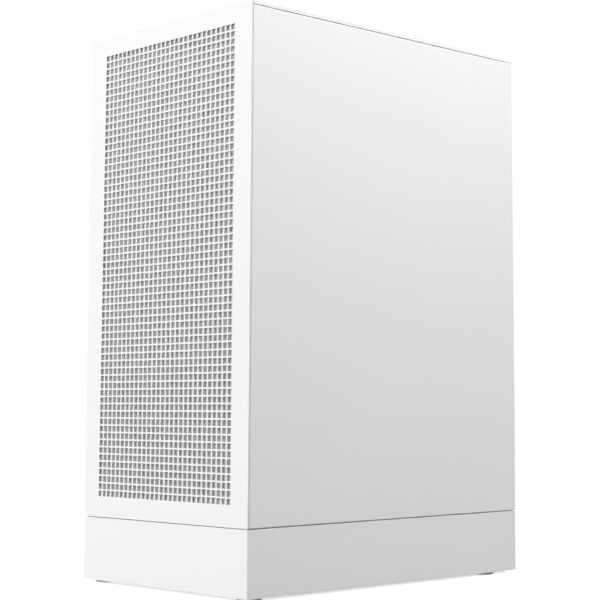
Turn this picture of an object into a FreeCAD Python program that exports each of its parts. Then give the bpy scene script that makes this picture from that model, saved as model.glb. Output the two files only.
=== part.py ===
import FreeCAD, Part
import math
import os
from FreeCAD import Vector

# A desktop computer in a small white tower: a steel chassis on a plinth, closed by four
# pull-off covers, with a vented front and top, a steel right cover and a glass left cover.
# Frame: +Z up, the front faces -Y, the right cover faces +X. The origin is on the table,
# under the middle of the tower. All sizes are in millimetres.

# ---- Driving dimensions ------------------------------------------------------------------
WIDTH = 187.0            # across X
DEPTH = 275.0            # across Y
HEIGHT = 406.0           # table to top
FOOT_GAP = 2.0           # table to the plinth's lower edge
PLINTH_TOP = 47.4
SEAM = 0.5               # shadow gap between the plinth and the covers
SHEET = 1.0              # steel sheet of the covers and the chassis
GAP = 0.4                # gap between neighbouring covers

PITCH = 5.25             # square punched grid, the same on every vent
HOLE = 4.0               # side of a punched hole
FRONT_COLUMNS = 29
FRONT_ROWS = 63
FRONT_FIRST_ROW = 65.0   # height of the lowest row's centre
TOP_ROWS = 29
TOP_FIRST_ROW = -57.0    # Y of the first row's centre

X_SIDE = WIDTH / 2
Y_FRONT = -DEPTH / 2
Y_REAR = DEPTH / 2
BODY_BOTTOM = PLINTH_TOP + SEAM
COVER_Y = Y_FRONT + SHEET + GAP         # where the side and top covers begin
SIDE_TOP = HEIGHT - 2.4 - GAP           # top edge of the side covers
HEM = 6.0                               # folded edge of a side cover

# Chassis box, inside the covers' folded edges
CH_X = 86.8
CH_FRONT = -127.2
CH_REAR = 135.5
CH_BOTTOM = PLINTH_TOP
CH_TOP = 397.0
FLANGE = 15.0

TRAY_X = 70.0            # left face of the motherboard tray
SHROUD_TOP = 143.0       # top of the power supply shroud

# Motherboard, component side facing -X
BOARD_X = 61.9           # component side
BOARD_T = 1.6
BOARD = (-37.0, 133.0, 219.0, 389.0)    # y0, y1, z0, z1
SOCKET_Y, SOCKET_Z = 52.0, 312.0
SLOT_Z = 226.0           # middle of the graphics card's circuit board
SLOT_PITCH = 20.32
BRACKET_Z = [SLOT_Z - 6.2 - SLOT_PITCH * i for i in range(2)]

# Fans: side, depth, hub radius
FRONT_FAN = (140.0, 25.0, 21.0)
REAR_FAN = (92.0, 25.0, 17.0)
CPU_FAN = (120.0, 25.0, 20.0)
FRONT_FAN_Z = (177.0, 318.0)
REAR_FAN_X, REAR_FAN_Z = -33.0, 330.0
CPU_FAN_X = -16.0
CPU_FAN_Y = 14.0         # middle of the cooler's fan
TOWER_Y = (27.0, 77.0)   # the cooler's fins
PSU = (-75.0, 75.0, -5.5, 134.5, 50.4, 136.4)   # x0, x1, y0, y1, z0, z1
PSU_FAN_X, PSU_FAN_Y = -4.0, 62.0
CARD = (-58.0, 50.0, -70.0, 128.0)      # graphics card's shroud: x0, x1, y0, y1
CARD_BOTTOM = 187.5
CARD_FAN_Y = (-21.0, 75.0)
CARD_FAN_X = -4.0
CARD_FAN_R = 43.5
RIM_WALL = 1.6           # ring round the blades of the card's fans

# Port strip on the top cover
STRIP = (-24.0, 82.0, -118.5, -105.5)   # x0, x1, y0, y1
STRIP_Y = (STRIP[2] + STRIP[3]) / 2
BUTTON_X, JACK_X, USB_C_X = 73.0, 57.0, 41.0
USB_A_X = (19.0, -7.0)
BUTTON_R = 3.9
BUTTON_DIP = 1.1         # how far the button lies below the top cover
JACK_R = 1.8             # bore of a 3.5 mm jack
JACK_DEPTH = 12.0

# Covers' ball studs and the nylon sockets that hold them
STUD_R = 2.0
BALL_R = 2.6
SOCKET_HOLE_R = 5.0      # hole in the sheet for a socket

# Distance of a fan's screw holes from its edge, by its side
SCREW_INSET = {140.0: 7.75, 120.0: 7.5, 92.0: 4.75}
TINY = 1e-3              # tolerance for picking edges

X, Y, Z = Vector(1, 0, 0), Vector(0, 1, 0), Vector(0, 0, 1)


# ---- Helpers -----------------------------------------------------------------------------
def box(x0, x1, y0, y1, z0, z1):
    """A block between two limits on each axis."""
    return Part.makeBox(x1 - x0, y1 - y0, z1 - z0, Vector(x0, y0, z0))


def rod(x, y, z, axis, radius, length):
    """A cylinder that starts at a point and runs along an axis."""
    return Part.makeCylinder(radius, length, Vector(x, y, z), axis)


def ring(x, y, z, axis, outer, inner, length):
    """A tube that starts at a point and runs along an axis."""
    return rod(x, y, z, axis, outer, length).cut(rod(x, y, z, axis, inner, length))


def fuse(shapes):
    """Joins shapes that touch into one solid."""
    shapes = list(shapes)
    if len(shapes) == 1:
        return shapes[0]
    return shapes[0].multiFuse(shapes[1:]).removeSplitter()


def cut(shape, tools):
    """Takes every tool away from a shape."""
    tools = list(tools)
    return shape.cut(tools) if tools else shape


def rounded(shape, radius, direction):
    """Rounds the edges that run along a direction."""
    edges = [e for e in shape.Edges if len(e.Vertexes) == 2
             and abs((e.Vertexes[1].Point - e.Vertexes[0].Point).normalize().dot(direction)) > 0.999]
    return shape.makeFillet(radius, edges)


def round_box(x0, x1, y0, y1, z0, z1, radius, direction):
    """A block with its edges rounded along a direction."""
    return rounded(box(x0, x1, y0, y1, z0, z1), radius, direction)


def turned(shape, axis, degrees, centre=Vector(0, 0, 0)):
    """A copy turned about an axis."""
    shape = shape.copy()
    shape.rotate(centre, axis, degrees)
    return shape


def moved(shape, x, y, z):
    """A copy shifted along the axes."""
    shape = shape.copy()
    shape.translate(Vector(x, y, z))
    return shape


def rectangle(u0, u1, v0, v1):
    """A closed outline in the local U-V plane."""
    corners = [(u0, v0), (u1, v0), (u1, v1), (u0, v1), (u0, v0)]
    return Part.makePolygon([Vector(u, v, 0) for u, v in corners])


def sheet(outline, windows, thickness):
    """A flat plate in the local U-V plane with windows punched through it, up to W = thickness."""
    holes = []
    for window in windows:
        hole = window if isinstance(window, Part.Wire) else rectangle(*window)
        hole.reverse()
        holes.append(hole)
    return Part.Face([rectangle(*outline)] + holes).extrude(Vector(0, 0, thickness))


def facing_front(shape, y):
    """Turns a local plate so that U is X, V is Z and W points to the front, from a given Y."""
    return moved(turned(shape, X, 90), 0, y, 0)


def centred(count, pitch):
    """Evenly spaced values about zero."""
    return [(i - (count - 1) / 2) * pitch for i in range(count)]


def grid(us, vs):
    """Limits of a square hole at each crossing of two rows of values."""
    h = HOLE / 2
    return [(u - h, u + h, v - h, v + h) for u in us for v in vs]


def screw_offsets(side):
    """Offsets of a fan's four screw holes from its middle."""
    reach = side / 2 - SCREW_INSET[side]
    return [(u, v) for u in (-reach, reach) for v in (-reach, reach)]


def square_frame(x0, x1, y0, y1, z0, z1, rim, direction):
    """A rectangular ring with a rim of one width, open along a direction."""
    dx, dy, dz = (0 if direction.dot(d) else rim for d in (X, Y, Z))
    return box(x0, x1, y0, y1, z0, z1).cut(box(x0 + dx, x1 - dx, y0 + dy, y1 - dy, z0 + dz, z1 - dz))


def tube(points, radius):
    """A round cable along straight runs joined by tangent arcs."""
    def circle(start, heading):
        return Part.Wire(Part.Circle(start, heading, radius).toShape())
    return swept(points, circle)


def swept(points, profile):
    """Sweeps a profile along straight runs joined by arcs as large as the runs allow."""
    pts = [Vector(*p) for p in points]
    edges, last = [], pts[0]
    for before, here, after in zip(pts, pts[1:], pts[2:]):
        a, b = (before - here), (after - here)
        reach = 0.45 * min(a.Length, b.Length)
        a.normalize()
        b.normalize()
        start, end = here + a * reach, here + b * reach
        half = (a + b).normalize()
        half_turn = (math.pi - a.getAngle(b)) / 2
        radius = reach / math.tan(half_turn)
        middle = here + half * (radius / math.cos(half_turn) - radius)
        edges.append(Part.LineSegment(last, start).toShape())
        edges.append(Part.Arc(start, middle, end).toShape())
        last = end
    edges.append(Part.LineSegment(last, pts[-1]).toShape())
    path = Part.Wire(edges)
    heading = (pts[1] - pts[0]).normalize()
    return path.makePipeShell([profile(pts[0], heading)], True, True)


# ---- Fans --------------------------------------------------------------------------------
def blade(inner, outer, chord, pitch, sweep, depth):
    """One fan blade round the Z axis: three cambered sections, trimmed at the tip."""
    sections = []
    for share in (0.0, 0.5, 1.0):
        radius = inner + (outer + 2 - inner) * share
        length = chord * (0.62 + 0.38 * share)
        angle = math.radians(pitch - 14 * share)
        camber, thick = 0.09 * length, 1.5 - 0.5 * share
        along = Vector(math.cos(angle), 0, math.sin(angle))
        across = Vector(-math.sin(angle), 0, math.cos(angle))
        corner = [along * (s * length / 2) for s in (-1, 1)]
        top = Part.Arc(corner[0] + across * thick, across * (camber + thick), corner[1] + across * thick)
        low = Part.Arc(corner[1], across * camber, corner[0])
        edges = [top.toShape(), Part.makeLine(corner[1] + across * thick, corner[1]), low.toShape(),
                 Part.makeLine(corner[0], corner[0] + across * thick)]
        wire = Part.Wire(edges)
        wire.translate(Vector(0, radius, -camber / 2))
        wire.rotate(Vector(0, 0, 0), Z, sweep * share)
        sections.append(wire)
    loft = Part.makeLoft(sections, True, False)
    return loft.common(rod(0, 0, -depth / 2, Z, outer, depth))


def rotor(tip, hub, depth, blades, chord, pitch=42, rim=0.0):
    """A fan's turning part round the Z axis: a cup over the motor, its shaft and its blades."""
    cup = rod(0, 0, -depth / 2, Z, hub, depth)
    cup = cup.makeFillet(1.5, [e for e in cup.Edges if e.BoundBox.ZMin > depth / 2 - TINY])
    hollow = ring(0, 0, -depth / 2, Z, hub - 2.0, 1.5, depth - 2.5)
    one = blade(hub - 1.0, tip - (RIM_WALL / 2 if rim else 0), chord, pitch, 24, depth)
    parts = [cup] + [turned(one, Z, 360.0 * i / blades) for i in range(blades)]
    if rim:
        parts.append(ring(0, 0, -rim / 2, Z, tip, tip - RIM_WALL, rim))
    return fuse(parts).cut(hollow)


def fan_frame(side, depth, hub, bore):
    """A fan's square frame round the Z axis, with its struts, motor mount and bearing at the back."""
    half = side / 2
    body = round_box(-half, half, -half, half, -depth / 2, depth / 2, 6, Z)
    corner = bore + 2.2
    body = body.cut(rod(0, 0, -depth / 2, Z, bore, depth))
    waist = box(-half, half, -half, half, -depth / 2 + 4, depth / 2 - 4)
    body = body.cut(waist.cut(rod(0, 0, -depth / 2, Z, corner, depth)))
    pins = [rod(x, y, -depth / 2, Z, 2.15, depth) for x, y in screw_offsets(side)]
    strut = box(hub - 3, bore + 1, -2, 2, -depth / 2, -depth / 2 + 3)
    struts = [turned(strut, Z, 45 + 90 * i) for i in range(4)]
    mount = rod(0, 0, -depth / 2, Z, hub - 1, 3)
    stator = rod(0, 0, -depth / 2, Z, hub - 3.5, depth - 9.0)
    bearing = rod(0, 0, -depth / 2, Z, 4.5, depth - 6.5)
    body = fuse([body, mount, stator, bearing] + struts)
    return cut(body, pins + [rod(0, 0, -depth / 2 + 1.2, Z, 1.55, depth)])


def fan(size, blades, chord, place):
    """A frame and its rotor, moved to where they belong."""
    side, depth, hub = size
    bore = side / 2 - 3.0 if side > 100 else side / 2 - 2.5
    frame = fan_frame(side, depth, hub, bore)
    turning = moved(rotor(bore - 1.2, hub, depth - 5.0, blades, chord), 0, 0, 1.7)
    return place(frame), place(turning)


def blowing_back(x, y, z):
    """Places a fan with its struts at the back and its open side to the front."""
    return lambda s: moved(turned(s, X, 90), x, y, z)


# ---- Covers ------------------------------------------------------------------------------
def studs(points, axis, length):
    """Ball studs that snap into the chassis clips."""
    made = []
    for p in points:
        tip = Vector(*p) + axis * length
        made.append(rod(*p, axis, STUD_R, length).fuse(Part.makeSphere(BALL_R, tip)))
    return made


SIDE_STUDS = [(y, z) for y in (-119.5, 127.5) for z in (78.0, 225.0, 372.0)]
FRONT_STUDS = [(x, z) for x in (-80.7, 80.7) for z in (100.0, 350.0)]
TOP_STUDS = [(x, y) for x in (-80.0, 80.0) for y in (-93.0, 125.0)]


def front_panel():
    """Steel sheet punched with the square grid."""
    columns = centred(FRONT_COLUMNS, PITCH)
    rows = [FRONT_FIRST_ROW + PITCH * i for i in range(FRONT_ROWS)]
    outline = (-X_SIDE, X_SIDE, BODY_BOTTOM, HEIGHT)
    return facing_front(sheet(outline, grid(columns, rows), SHEET), Y_FRONT + SHEET)


def front_carrier():
    """Plastic frame behind the front sheet, with its snap studs."""
    y0 = Y_FRONT + SHEET
    body = square_frame(-84.0, 84.0, y0, y0 + 7.5, 56.0, 400.0, 6.5, Y)
    pins = studs([(x, y0 + 7.0, z) for x, z in FRONT_STUDS], Y, 5.5)
    return fuse([body] + pins)


def front_filter():
    """Filter frame and its fine mesh, inside the carrier."""
    y0 = Y_FRONT + SHEET + 0.6
    frame = square_frame(-77.2, 77.2, y0, y0 + 3.0, 62.8, 393.2, 3.0, Y)
    bars = [box(-74.2, 74.2, y0 + 1.2, y0 + 3.0, z - 1.5, z + 1.5) for z in (173.0, 283.0)]
    mesh = box(-74.2, 74.2, y0 + 0.4, y0 + 1.0, 65.8, 390.2)
    return fuse([frame] + bars), mesh


def side_panel():
    """Steel right cover with hems folded all round and its snap studs."""
    skin = box(X_SIDE - SHEET, X_SIDE, COVER_Y, Y_REAR, BODY_BOTTOM, SIDE_TOP)
    hem = square_frame(X_SIDE - HEM, X_SIDE - SHEET, COVER_Y, Y_REAR, BODY_BOTTOM, SIDE_TOP, SHEET, X)
    shell = skin.fuse(hem).removeSplitter()
    bends = [e for e in shell.Edges if min(v.Point.x for v in e.Vertexes) > X_SIDE - TINY]
    shell = shell.makeFillet(0.7, bends)
    pins = studs([(X_SIDE - SHEET, y, z) for y, z in SIDE_STUDS], Vector(-1, 0, 0), 7.0)
    return fuse([shell] + pins)


def glass_panel():
    """Tempered glass left cover: the pane, and the steel frame glued behind it."""
    pane = box(-X_SIDE, -X_SIDE + 4.0, COVER_Y, Y_REAR, BODY_BOTTOM, SIDE_TOP)
    pane = rounded(pane, 1.5, X)
    x0 = -X_SIDE + 4.0
    frame = square_frame(x0, x0 + SHEET, COVER_Y + 1.0, Y_REAR - 1.0,
                         BODY_BOTTOM + 1.0, SIDE_TOP - 1.0, 20.0, X)
    pins = studs([(x0 + SHEET, y, z) for y, z in SIDE_STUDS], X, 4.0)
    return pane, fuse([frame] + pins)


def top_panel():
    """Vented steel top cover with an opening for the port strip, and the flange welded on at its rear."""
    columns = centred(FRONT_COLUMNS, PITCH)
    rows = [TOP_FIRST_ROW + PITCH * i for i in range(TOP_ROWS)]
    x0, x1, y0, y1 = STRIP
    room = rectangle(x0 - 0.3, x1 + 0.3, y0 - 0.3, y1 + 0.3)
    outline = (-X_SIDE, X_SIDE, COVER_Y, Y_REAR)
    plate = moved(sheet(outline, [room] + grid(columns, rows), SHEET), 0, 0, HEIGHT - SHEET)
    lip = HEIGHT - 2.4
    sides = [box(x, x + SHEET, COVER_Y, Y_REAR, lip, HEIGHT - SHEET) for x in (-X_SIDE, X_SIDE - SHEET)]
    back = box(-CH_X, CH_X, Y_REAR - SHEET, Y_REAR, CH_TOP + 1.0, HEIGHT - SHEET)
    return Part.makeCompound([fuse([plate, *sides]), back])


def top_carrier():
    """Plastic frame under the top sheet, with its snap studs."""
    z1 = HEIGHT - SHEET
    body = square_frame(-83.5, 83.5, -101.0, 131.0, z1 - 5.0, z1, 7.5, Z)
    pins = studs([(x, y, z1 - 4.5) for x, y in TOP_STUDS], Vector(0, 0, -1), 6.0)
    return fuse([body] + pins)


def top_filter():
    """Filter frame and its fine mesh, under the top cover's vent."""
    z1 = HEIGHT - SHEET - 0.6
    frame = square_frame(-75.9, 75.9, -93.4, 123.4, z1 - 2.4, z1, 3.0, Z)
    bar = box(-72.9, 72.9, 14.5, 17.5, z1 - 2.4, z1 - 1.2)
    mesh = box(-72.9, 72.9, -90.4, 120.4, z1 - 1.0, z1 - 0.4)
    return [frame.fuse(bar).removeSplitter(), mesh]


# ---- Plinth ------------------------------------------------------------------------------
FILTER_SLOT = (-66.0, 66.0, 38.0, 44.6)     # x0, x1, z0, z1 of the mouth in the plinth's rear


def plinth():
    """Folded steel skirt with flanges top and bottom, vents and a filter slot at the rear."""
    outer = box(-X_SIDE, X_SIDE, Y_FRONT, Y_REAR, FOOT_GAP, PLINTH_TOP)
    shell = rounded(outer, 0.9, Z)
    inner = box(-X_SIDE + 1.2, X_SIDE - 1.2, Y_FRONT + 1.2, Y_REAR - 1.2, FOOT_GAP + 1.2, PLINTH_TOP - 1.2)
    openings = box(-X_SIDE + 22, X_SIDE - 22, Y_FRONT + 22, Y_REAR - 12, FOOT_GAP, PLINTH_TOP)
    vents = [box(x - 1.5, x + 1.5, Y_REAR - 1.2, Y_REAR, 10.0, 32.0) for x in centred(23, 7.0)]
    x0, x1, z0, z1 = FILTER_SLOT
    mouth = box(x0, x1, Y_REAR - 1.2, Y_REAR, z0, z1)
    pads = [rod(x, y, FOOT_GAP, Z, 4.0, 1.2) for x, y in FEET]
    return cut(shell, [inner, openings, mouth] + vents + pads)


FEET = [(x, y) for x in (-X_SIDE + 13, X_SIDE - 13) for y in (Y_FRONT + 13, Y_REAR - 26)]


def feet():
    """Four rubber feet pushed through the plinth's lower flange."""
    made = []
    for x, y in FEET:
        pad = rod(x, y, 0, Z, 8.5, FOOT_GAP)
        pad = pad.makeFillet(0.6, [e for e in pad.Edges if e.BoundBox.ZMax < TINY])
        neck = rod(x, y, FOOT_GAP, Z, 3.9, 1.2)
        barb = Part.makeCone(5.0, 3.2, 2.6, Vector(x, y, FOOT_GAP + 1.2), Z)
        made.append(fuse([pad, neck, barb]))
    return Part.makeCompound(made)


def base_filter():
    """Sliding filter under the power supply: frame with a pull, and its mesh."""
    x0, x1 = FILTER_SLOT[0] + 0.6, FILTER_SLOT[1] - 0.6
    z0, z1 = FILTER_SLOT[2] + 0.6, FILTER_SLOT[3] - 0.6
    y0 = -35.0
    rim = square_frame(x0, x1, y0, Y_REAR - 1.6, z0 + 1.0, z1 - 1.0, 5.0, Z)
    bars = [box(x0 + 5, x1 - 5, y - 1.5, y + 1.5, z0 + 1.0, z0 + 2.6) for y in (22.0, 79.0)]
    pull = box(x0, x1, Y_REAR - 1.8, Y_REAR - 0.2, z0, z1)
    pull = pull.cut(round_box(-16, 16, Y_REAR - 1.0, Y_REAR, z0 + 1.4, z1 - 1.4, 1.2, Y))
    mesh = box(x0 + 5, x1 - 5, y0 + 5, Y_REAR - 6.6, z0 + 2.6, z0 + 3.0)
    return [fuse([rim, pull] + bars), mesh]


def filter_rails():
    """The walls and shelves of two rails under the floor that carry the sliding filter."""
    x0, x1 = FILTER_SLOT[0] - 0.4, FILTER_SLOT[1] + 0.4
    z0, z1 = FILTER_SLOT[2], PLINTH_TOP
    made = []
    for side, edge in ((-1, x0), (1, x1)):
        wall = sorted((edge, edge + side * 2.0))
        shelf = sorted((edge, edge - side * 4.0))
        made += [box(*wall, -40.0, 124.0, z0 - 1.0, z1), box(*shelf, -40.0, 124.0, z0 - 1.0, z0 + 1.5)]
    return made


# ---- Chassis -----------------------------------------------------------------------------
def clip(x, y, z, axis):
    """One nylon socket: its flange lies on the sheet and its body goes through it."""
    start = Vector(x, y, z) - axis * 3.3
    body = rod(*start, axis, 4.9, 3.3).fuse(rod(x, y, z, axis, 6.2, 0.8))
    return body.cut(rod(*start, axis, 2.9, 5.0)).removeSplitter()


def clips():
    """Nylon sockets in the chassis flanges for the covers' ball studs."""
    sides = [clip(side * CH_X, y, z, X * side) for y, z in SIDE_STUDS for side in (-1, 1)]
    front = [clip(x, CH_FRONT, z, Vector(0, -1, 0)) for x, z in FRONT_STUDS]
    top = [clip(x, y, CH_TOP, Z) for x, y in TOP_STUDS]
    return Part.makeCompound(sides + front + top)


def clip_holes_side():
    """Holes for the sockets in the side flanges."""
    return [rod(side * (CH_X - 3), y, z, X * side, SOCKET_HOLE_R, 6.0)
            for y, z in SIDE_STUDS for side in (-1, 1)]


def chassis_floor():
    """Floor plate with the supply's air intake, two pressed ribs under it and the filter's rails."""
    floor = box(-CH_X, CH_X, CH_FRONT, CH_REAR, CH_BOTTOM, CH_BOTTOM + SHEET)
    x0, x1, y0, y1, z0, _ = PSU
    ribs = [box(x, x + 7, y0 + 8, y1 - 8, CH_BOTTOM + SHEET, z0) for x in (x0 + 2, x1 - 9)]
    intake = [box(PSU_FAN_X - 55, PSU_FAN_X + 55, y - 2.5, y + 2.5, CH_BOTTOM, CH_BOTTOM + SHEET)
              for y in [PSU_FAN_Y + v for v in centred(13, 8.5)]]
    return cut(fuse([floor] + ribs + filter_rails()), intake)


def chassis_top():
    """Top plate with fan openings and a hole for the port cable."""
    z0 = CH_TOP - SHEET
    plate = box(-CH_X, CH_X, CH_FRONT + SHEET, CH_REAR - SHEET, z0, CH_TOP)
    vent = [round_box(-62, 62, y0, y1, z0, CH_TOP, 8, Z) for y0, y1 in ((-84, 12), (20, 116))]
    slots = [round_box(x - 2.2, x + 2.2, y0, y1, z0, CH_TOP, 2.1, Z)
             for x in (-68, 68) for y0, y1 in ((-80, 8), (24, 112))]
    sockets = [rod(x, y, z0, Z, SOCKET_HOLE_R, SHEET) for x, y in TOP_STUDS]
    wire = rod(*PORT_CABLE[0][:2], z0, Z, 4.0, SHEET)
    return cut(plate, vent + slots + sockets + [wire])


def chassis_front():
    """Front wall with two fan openings and side flanges."""
    z0 = CH_BOTTOM + SHEET
    plate = box(-CH_X, CH_X, CH_FRONT, CH_FRONT + SHEET, z0, CH_TOP)
    flanges = [box(x, x + SHEET, CH_FRONT + SHEET, CH_FRONT + FLANGE, z0, CH_TOP - SHEET)
               for x in (-CH_X, CH_X - SHEET)]
    fans = [rod(0, CH_FRONT, z, Y, FRONT_FAN[0] / 2 - 3.5, SHEET) for z in FRONT_FAN_Z]
    screws = [rod(dx, CH_FRONT, z + dz, Y, 2.4, SHEET)
              for z in FRONT_FAN_Z for dx, dz in screw_offsets(FRONT_FAN[0])]
    vents = [round_box(x - 7, x + 7, CH_FRONT, CH_FRONT + SHEET, 60, 96, 3, Y) for x in centred(5, 22)]
    sockets = [rod(x, CH_FRONT, z, Y, SOCKET_HOLE_R, SHEET) for x, z in FRONT_STUDS]
    return cut(fuse([plate] + flanges), fans + screws + vents + sockets + clip_holes_side())


IO_CUT = (19.7, 64.15, 231.0, 389.75)       # x0, x1, z0, z1 of the input and output opening


def chassis_rear():
    """Rear wall: fan vent, port opening, two card slots, power supply opening, side flanges."""
    z0 = CH_BOTTOM + SHEET
    y0 = CH_REAR - SHEET
    plate = box(-CH_X, CH_X, y0, CH_REAR, z0, CH_TOP)
    flanges = [box(x, x + SHEET, CH_REAR - FLANGE, y0, z0, CH_TOP - SHEET)
               for x in (-CH_X, CH_X - SHEET)]
    x0, x1, a, b = IO_CUT
    io = box(x0, x1, y0, CH_REAR, a, b)
    slots = [box(-50, 60, y0, CH_REAR, z - 6.2, z + 6.2) for z in BRACKET_Z]
    supply = box(PSU[0] + 3, PSU[1] - 3, y0, CH_REAR, PSU[4] + 3, PSU[5] - 3)
    holes = [(u, v) for u in centred(19, PITCH) for v in centred(19, PITCH)
             if math.hypot(abs(u) + HOLE / 2, abs(v) + HOLE / 2) < REAR_FAN[0] / 2 - 3.0]
    h = HOLE / 2
    vent = [moved(box(u - h, u + h, y0, CH_REAR, v - h, v + h), REAR_FAN_X, 0, REAR_FAN_Z)
            for u, v in holes]
    side_vent = [box(x - 1.6, x + 1.6, y0, CH_REAR, 168, 226) for x in (-80.0, -73.0, -66.0)]
    screws = [rod(REAR_FAN_X + dx, y0, REAR_FAN_Z + dz, Y, 2.4, SHEET)
              for dx, dz in screw_offsets(REAR_FAN[0])]
    body = fuse([plate] + flanges)
    body = cut(body, [io, supply] + slots + side_vent + screws + clip_holes_side())
    return cut(body, vent)


def card_ledge():
    """Folded ledge beside the card slots, with the screws' holes."""
    y0 = CH_REAR - SHEET
    low, high = BRACKET_Z[-1] - 9.5, BRACKET_Z[0] + 9.5
    ledge = box(-62.5, -61.5, y0 - 13.0, y0, low, high)
    return cut(ledge, [rod(-62.5, y0 - 7.0, z, X, 1.7, 1.0) for z in BRACKET_Z])


def motherboard_tray():
    """Plate that carries the board, with openings behind the socket and for cables."""
    z0 = SHROUD_TOP
    plate = box(TRAY_X, TRAY_X + SHEET, -100.0, CH_REAR - SHEET - 0.5, z0, CH_TOP - SHEET)
    behind = round_box(TRAY_X, TRAY_X + SHEET, SOCKET_Y - 45, SOCKET_Y + 45,
                       SOCKET_Z - 40, SOCKET_Z + 40, 6, X)
    wires = [round_box(TRAY_X, TRAY_X + SHEET, y0, y1, a, b, 5, X) for y0, y1, a, b in CABLE_HOLES]
    bent_edge = box(TRAY_X + SHEET, CH_X - SHEET - 0.5, -100.0, -99.0, z0, CH_TOP - SHEET)
    return cut(fuse([plate, bent_edge]), [behind] + wires)


CABLE_HOLES = [(-66.0, -46.0, 282.0, 362.0), (-66.0, -46.0, 178.0, 246.0)]   # y0, y1, z0, z1


def psu_shroud():
    """Cover over the power supply and the drive, punched along its top and side."""
    x0, x1 = -CH_X + 2.0, CH_X - SHEET - 0.5
    y0, y1 = -100.0, CH_REAR - SHEET - 0.5
    top = box(x0, x1, y0, y1, SHROUD_TOP - SHEET, SHROUD_TOP)
    side = box(x0, x0 + SHEET, y0, y1, CH_BOTTOM + SHEET, SHROUD_TOP - SHEET)
    top_holes = [box(x - 2.5, x + 2.5, y - 14, y + 14, SHROUD_TOP - SHEET, SHROUD_TOP)
                 for x in centred(9, 11.0) for y in (10.0, 48.0, 86.0)]
    side_rows = [SHROUD_TOP - 20 - 2 * PITCH * i for i in range(6)]
    side_holes = [box(x0, x0 + SHEET, y - 2, y + 2, z - 2, z + 2)
                  for y in centred(19, 2 * PITCH) for z in side_rows]
    wires = [round_box(x - 6, x + 6, y - 10, y + 10, SHROUD_TOP - SHEET, SHROUD_TOP, 4, Z)
             for x, y in SHROUD_WIRE_HOLES]
    back = round_box(TRAY_X + 3.5, x1 - 2.0, -92.0, 20.0, SHROUD_TOP - SHEET, SHROUD_TOP, 3, Z)
    room = [rod(x0, y, z, X, 7.0, SHEET) for y, z in SIDE_STUDS if y > y0 and z < SHROUD_TOP]
    return cut(top.fuse(side), top_holes + side_holes + wires + room + [back])


def drive_cage():
    """Open box beside the power supply for one 3.5 inch drive."""
    x0, x1, y0, y1 = -77.0, 77.0, -118.0, -12.0
    z0, z1 = CH_BOTTOM + SHEET, 92.0
    room = box(x0 - 1, x1 + 1, y0 + SHEET, y1 - SHEET, z0 + SHEET, z1 - SHEET)
    walls = box(x0, x1, y0, y1, z0, z1).cut(room)
    lights = [round_box(x - 16, x + 16, y0, y1, z0 + 12, z1 - 12, 4, Y) for x in (-46, 0, 46)]
    top = [round_box(x - 18, x + 18, y0 + 16, y1 - 16, z1 - SHEET, z1, 6, Z) for x in (-46, 0, 46)]
    return cut(walls, lights + top)


def hard_drive():
    """3.5 inch drive: cast body, lid, circuit board and the two plastic rails it stands on."""
    x0, x1, y0, y1 = -73.5, 73.5, -115.8, -14.2
    z0 = CH_BOTTOM + 2 * SHEET + 6.0
    body = round_box(x0, x1, y0, y1, z0, z0 + 24.0, 3, Z)
    body = body.cut(box(x0 + 1, x1 - 1, y0 + 5, y1 - 5, z0, z0 + 2.0))
    hub = rod(x0 + 58, (y0 + y1) / 2, z0 + 24.0, Z, 38, 1.0)
    lid = box(x0 + 4, x1 - 4, y0 + 3, y1 - 3, z0 + 24.0, z0 + 25.0).fuse(hub).removeSplitter()
    board = box(x0 + 2, x1 - 30, y0 + 6, y1 - 6, z0 + 0.4, z0 + 2.0)
    rails = [box(-70, 70, y, y + 3.5, z0 - 6.0, z0) for y in (y0 + 0.8, y1 - 4.3)]
    return Part.makeCompound([body, lid, board, *rails])


# ---- Port strip and power button ---------------------------------------------------------
def port_strip():
    """White plastic strip that stands through the top cover, hollow underneath."""
    x0, x1, y0, y1 = STRIP
    body = round_box(x0, x1, y0, y1, CH_TOP, HEIGHT, 1.5, Z)
    room = box(x0 + 1.5, x1 - 1.5, y0 + 1.5, y1 - 1.5, CH_TOP, HEIGHT - 1.5)
    usb = [box(x - 6.9, x + 6.9, STRIP_Y - 3.2, STRIP_Y + 3.2, HEIGHT - 1.5, HEIGHT) for x in USB_A_X]
    usb_c = round_box(USB_C_X - 4.9, USB_C_X + 4.9, STRIP_Y - 2.1, STRIP_Y + 2.1,
                      HEIGHT - 1.5, HEIGHT, 2.0, Z)
    jack = rod(JACK_X, STRIP_Y, HEIGHT - 1.5, Z, 3.2, 1.5)
    button = rod(BUTTON_X, STRIP_Y, HEIGHT - 1.5, Z, BUTTON_R + 0.3, 1.5)
    return cut(body, [room, usb_c, jack, button] + usb)


def port_board():
    """Small circuit board under the strip, the button's switch, contact tongues and headset jack."""
    x0, x1, y0, y1 = STRIP
    plate = box(x0 + 1.8, x1 - 1.8, y0 + 1.8, y1 - 1.8, CH_TOP, PORT_BASE)
    switch = box(BUTTON_X - 3, BUTTON_X + 3, STRIP_Y - 3, STRIP_Y + 3, PORT_BASE, PORT_BASE + 1.4)
    collar = ring(BUTTON_X, STRIP_Y, PORT_BASE + 1.4, Z, 2.9, 1.8, 1.2)
    return Part.makeCompound([plate, switch.fuse(collar).removeSplitter(), *top_ports()[1]])


PORT_BASE = CH_TOP + 1.2


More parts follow.
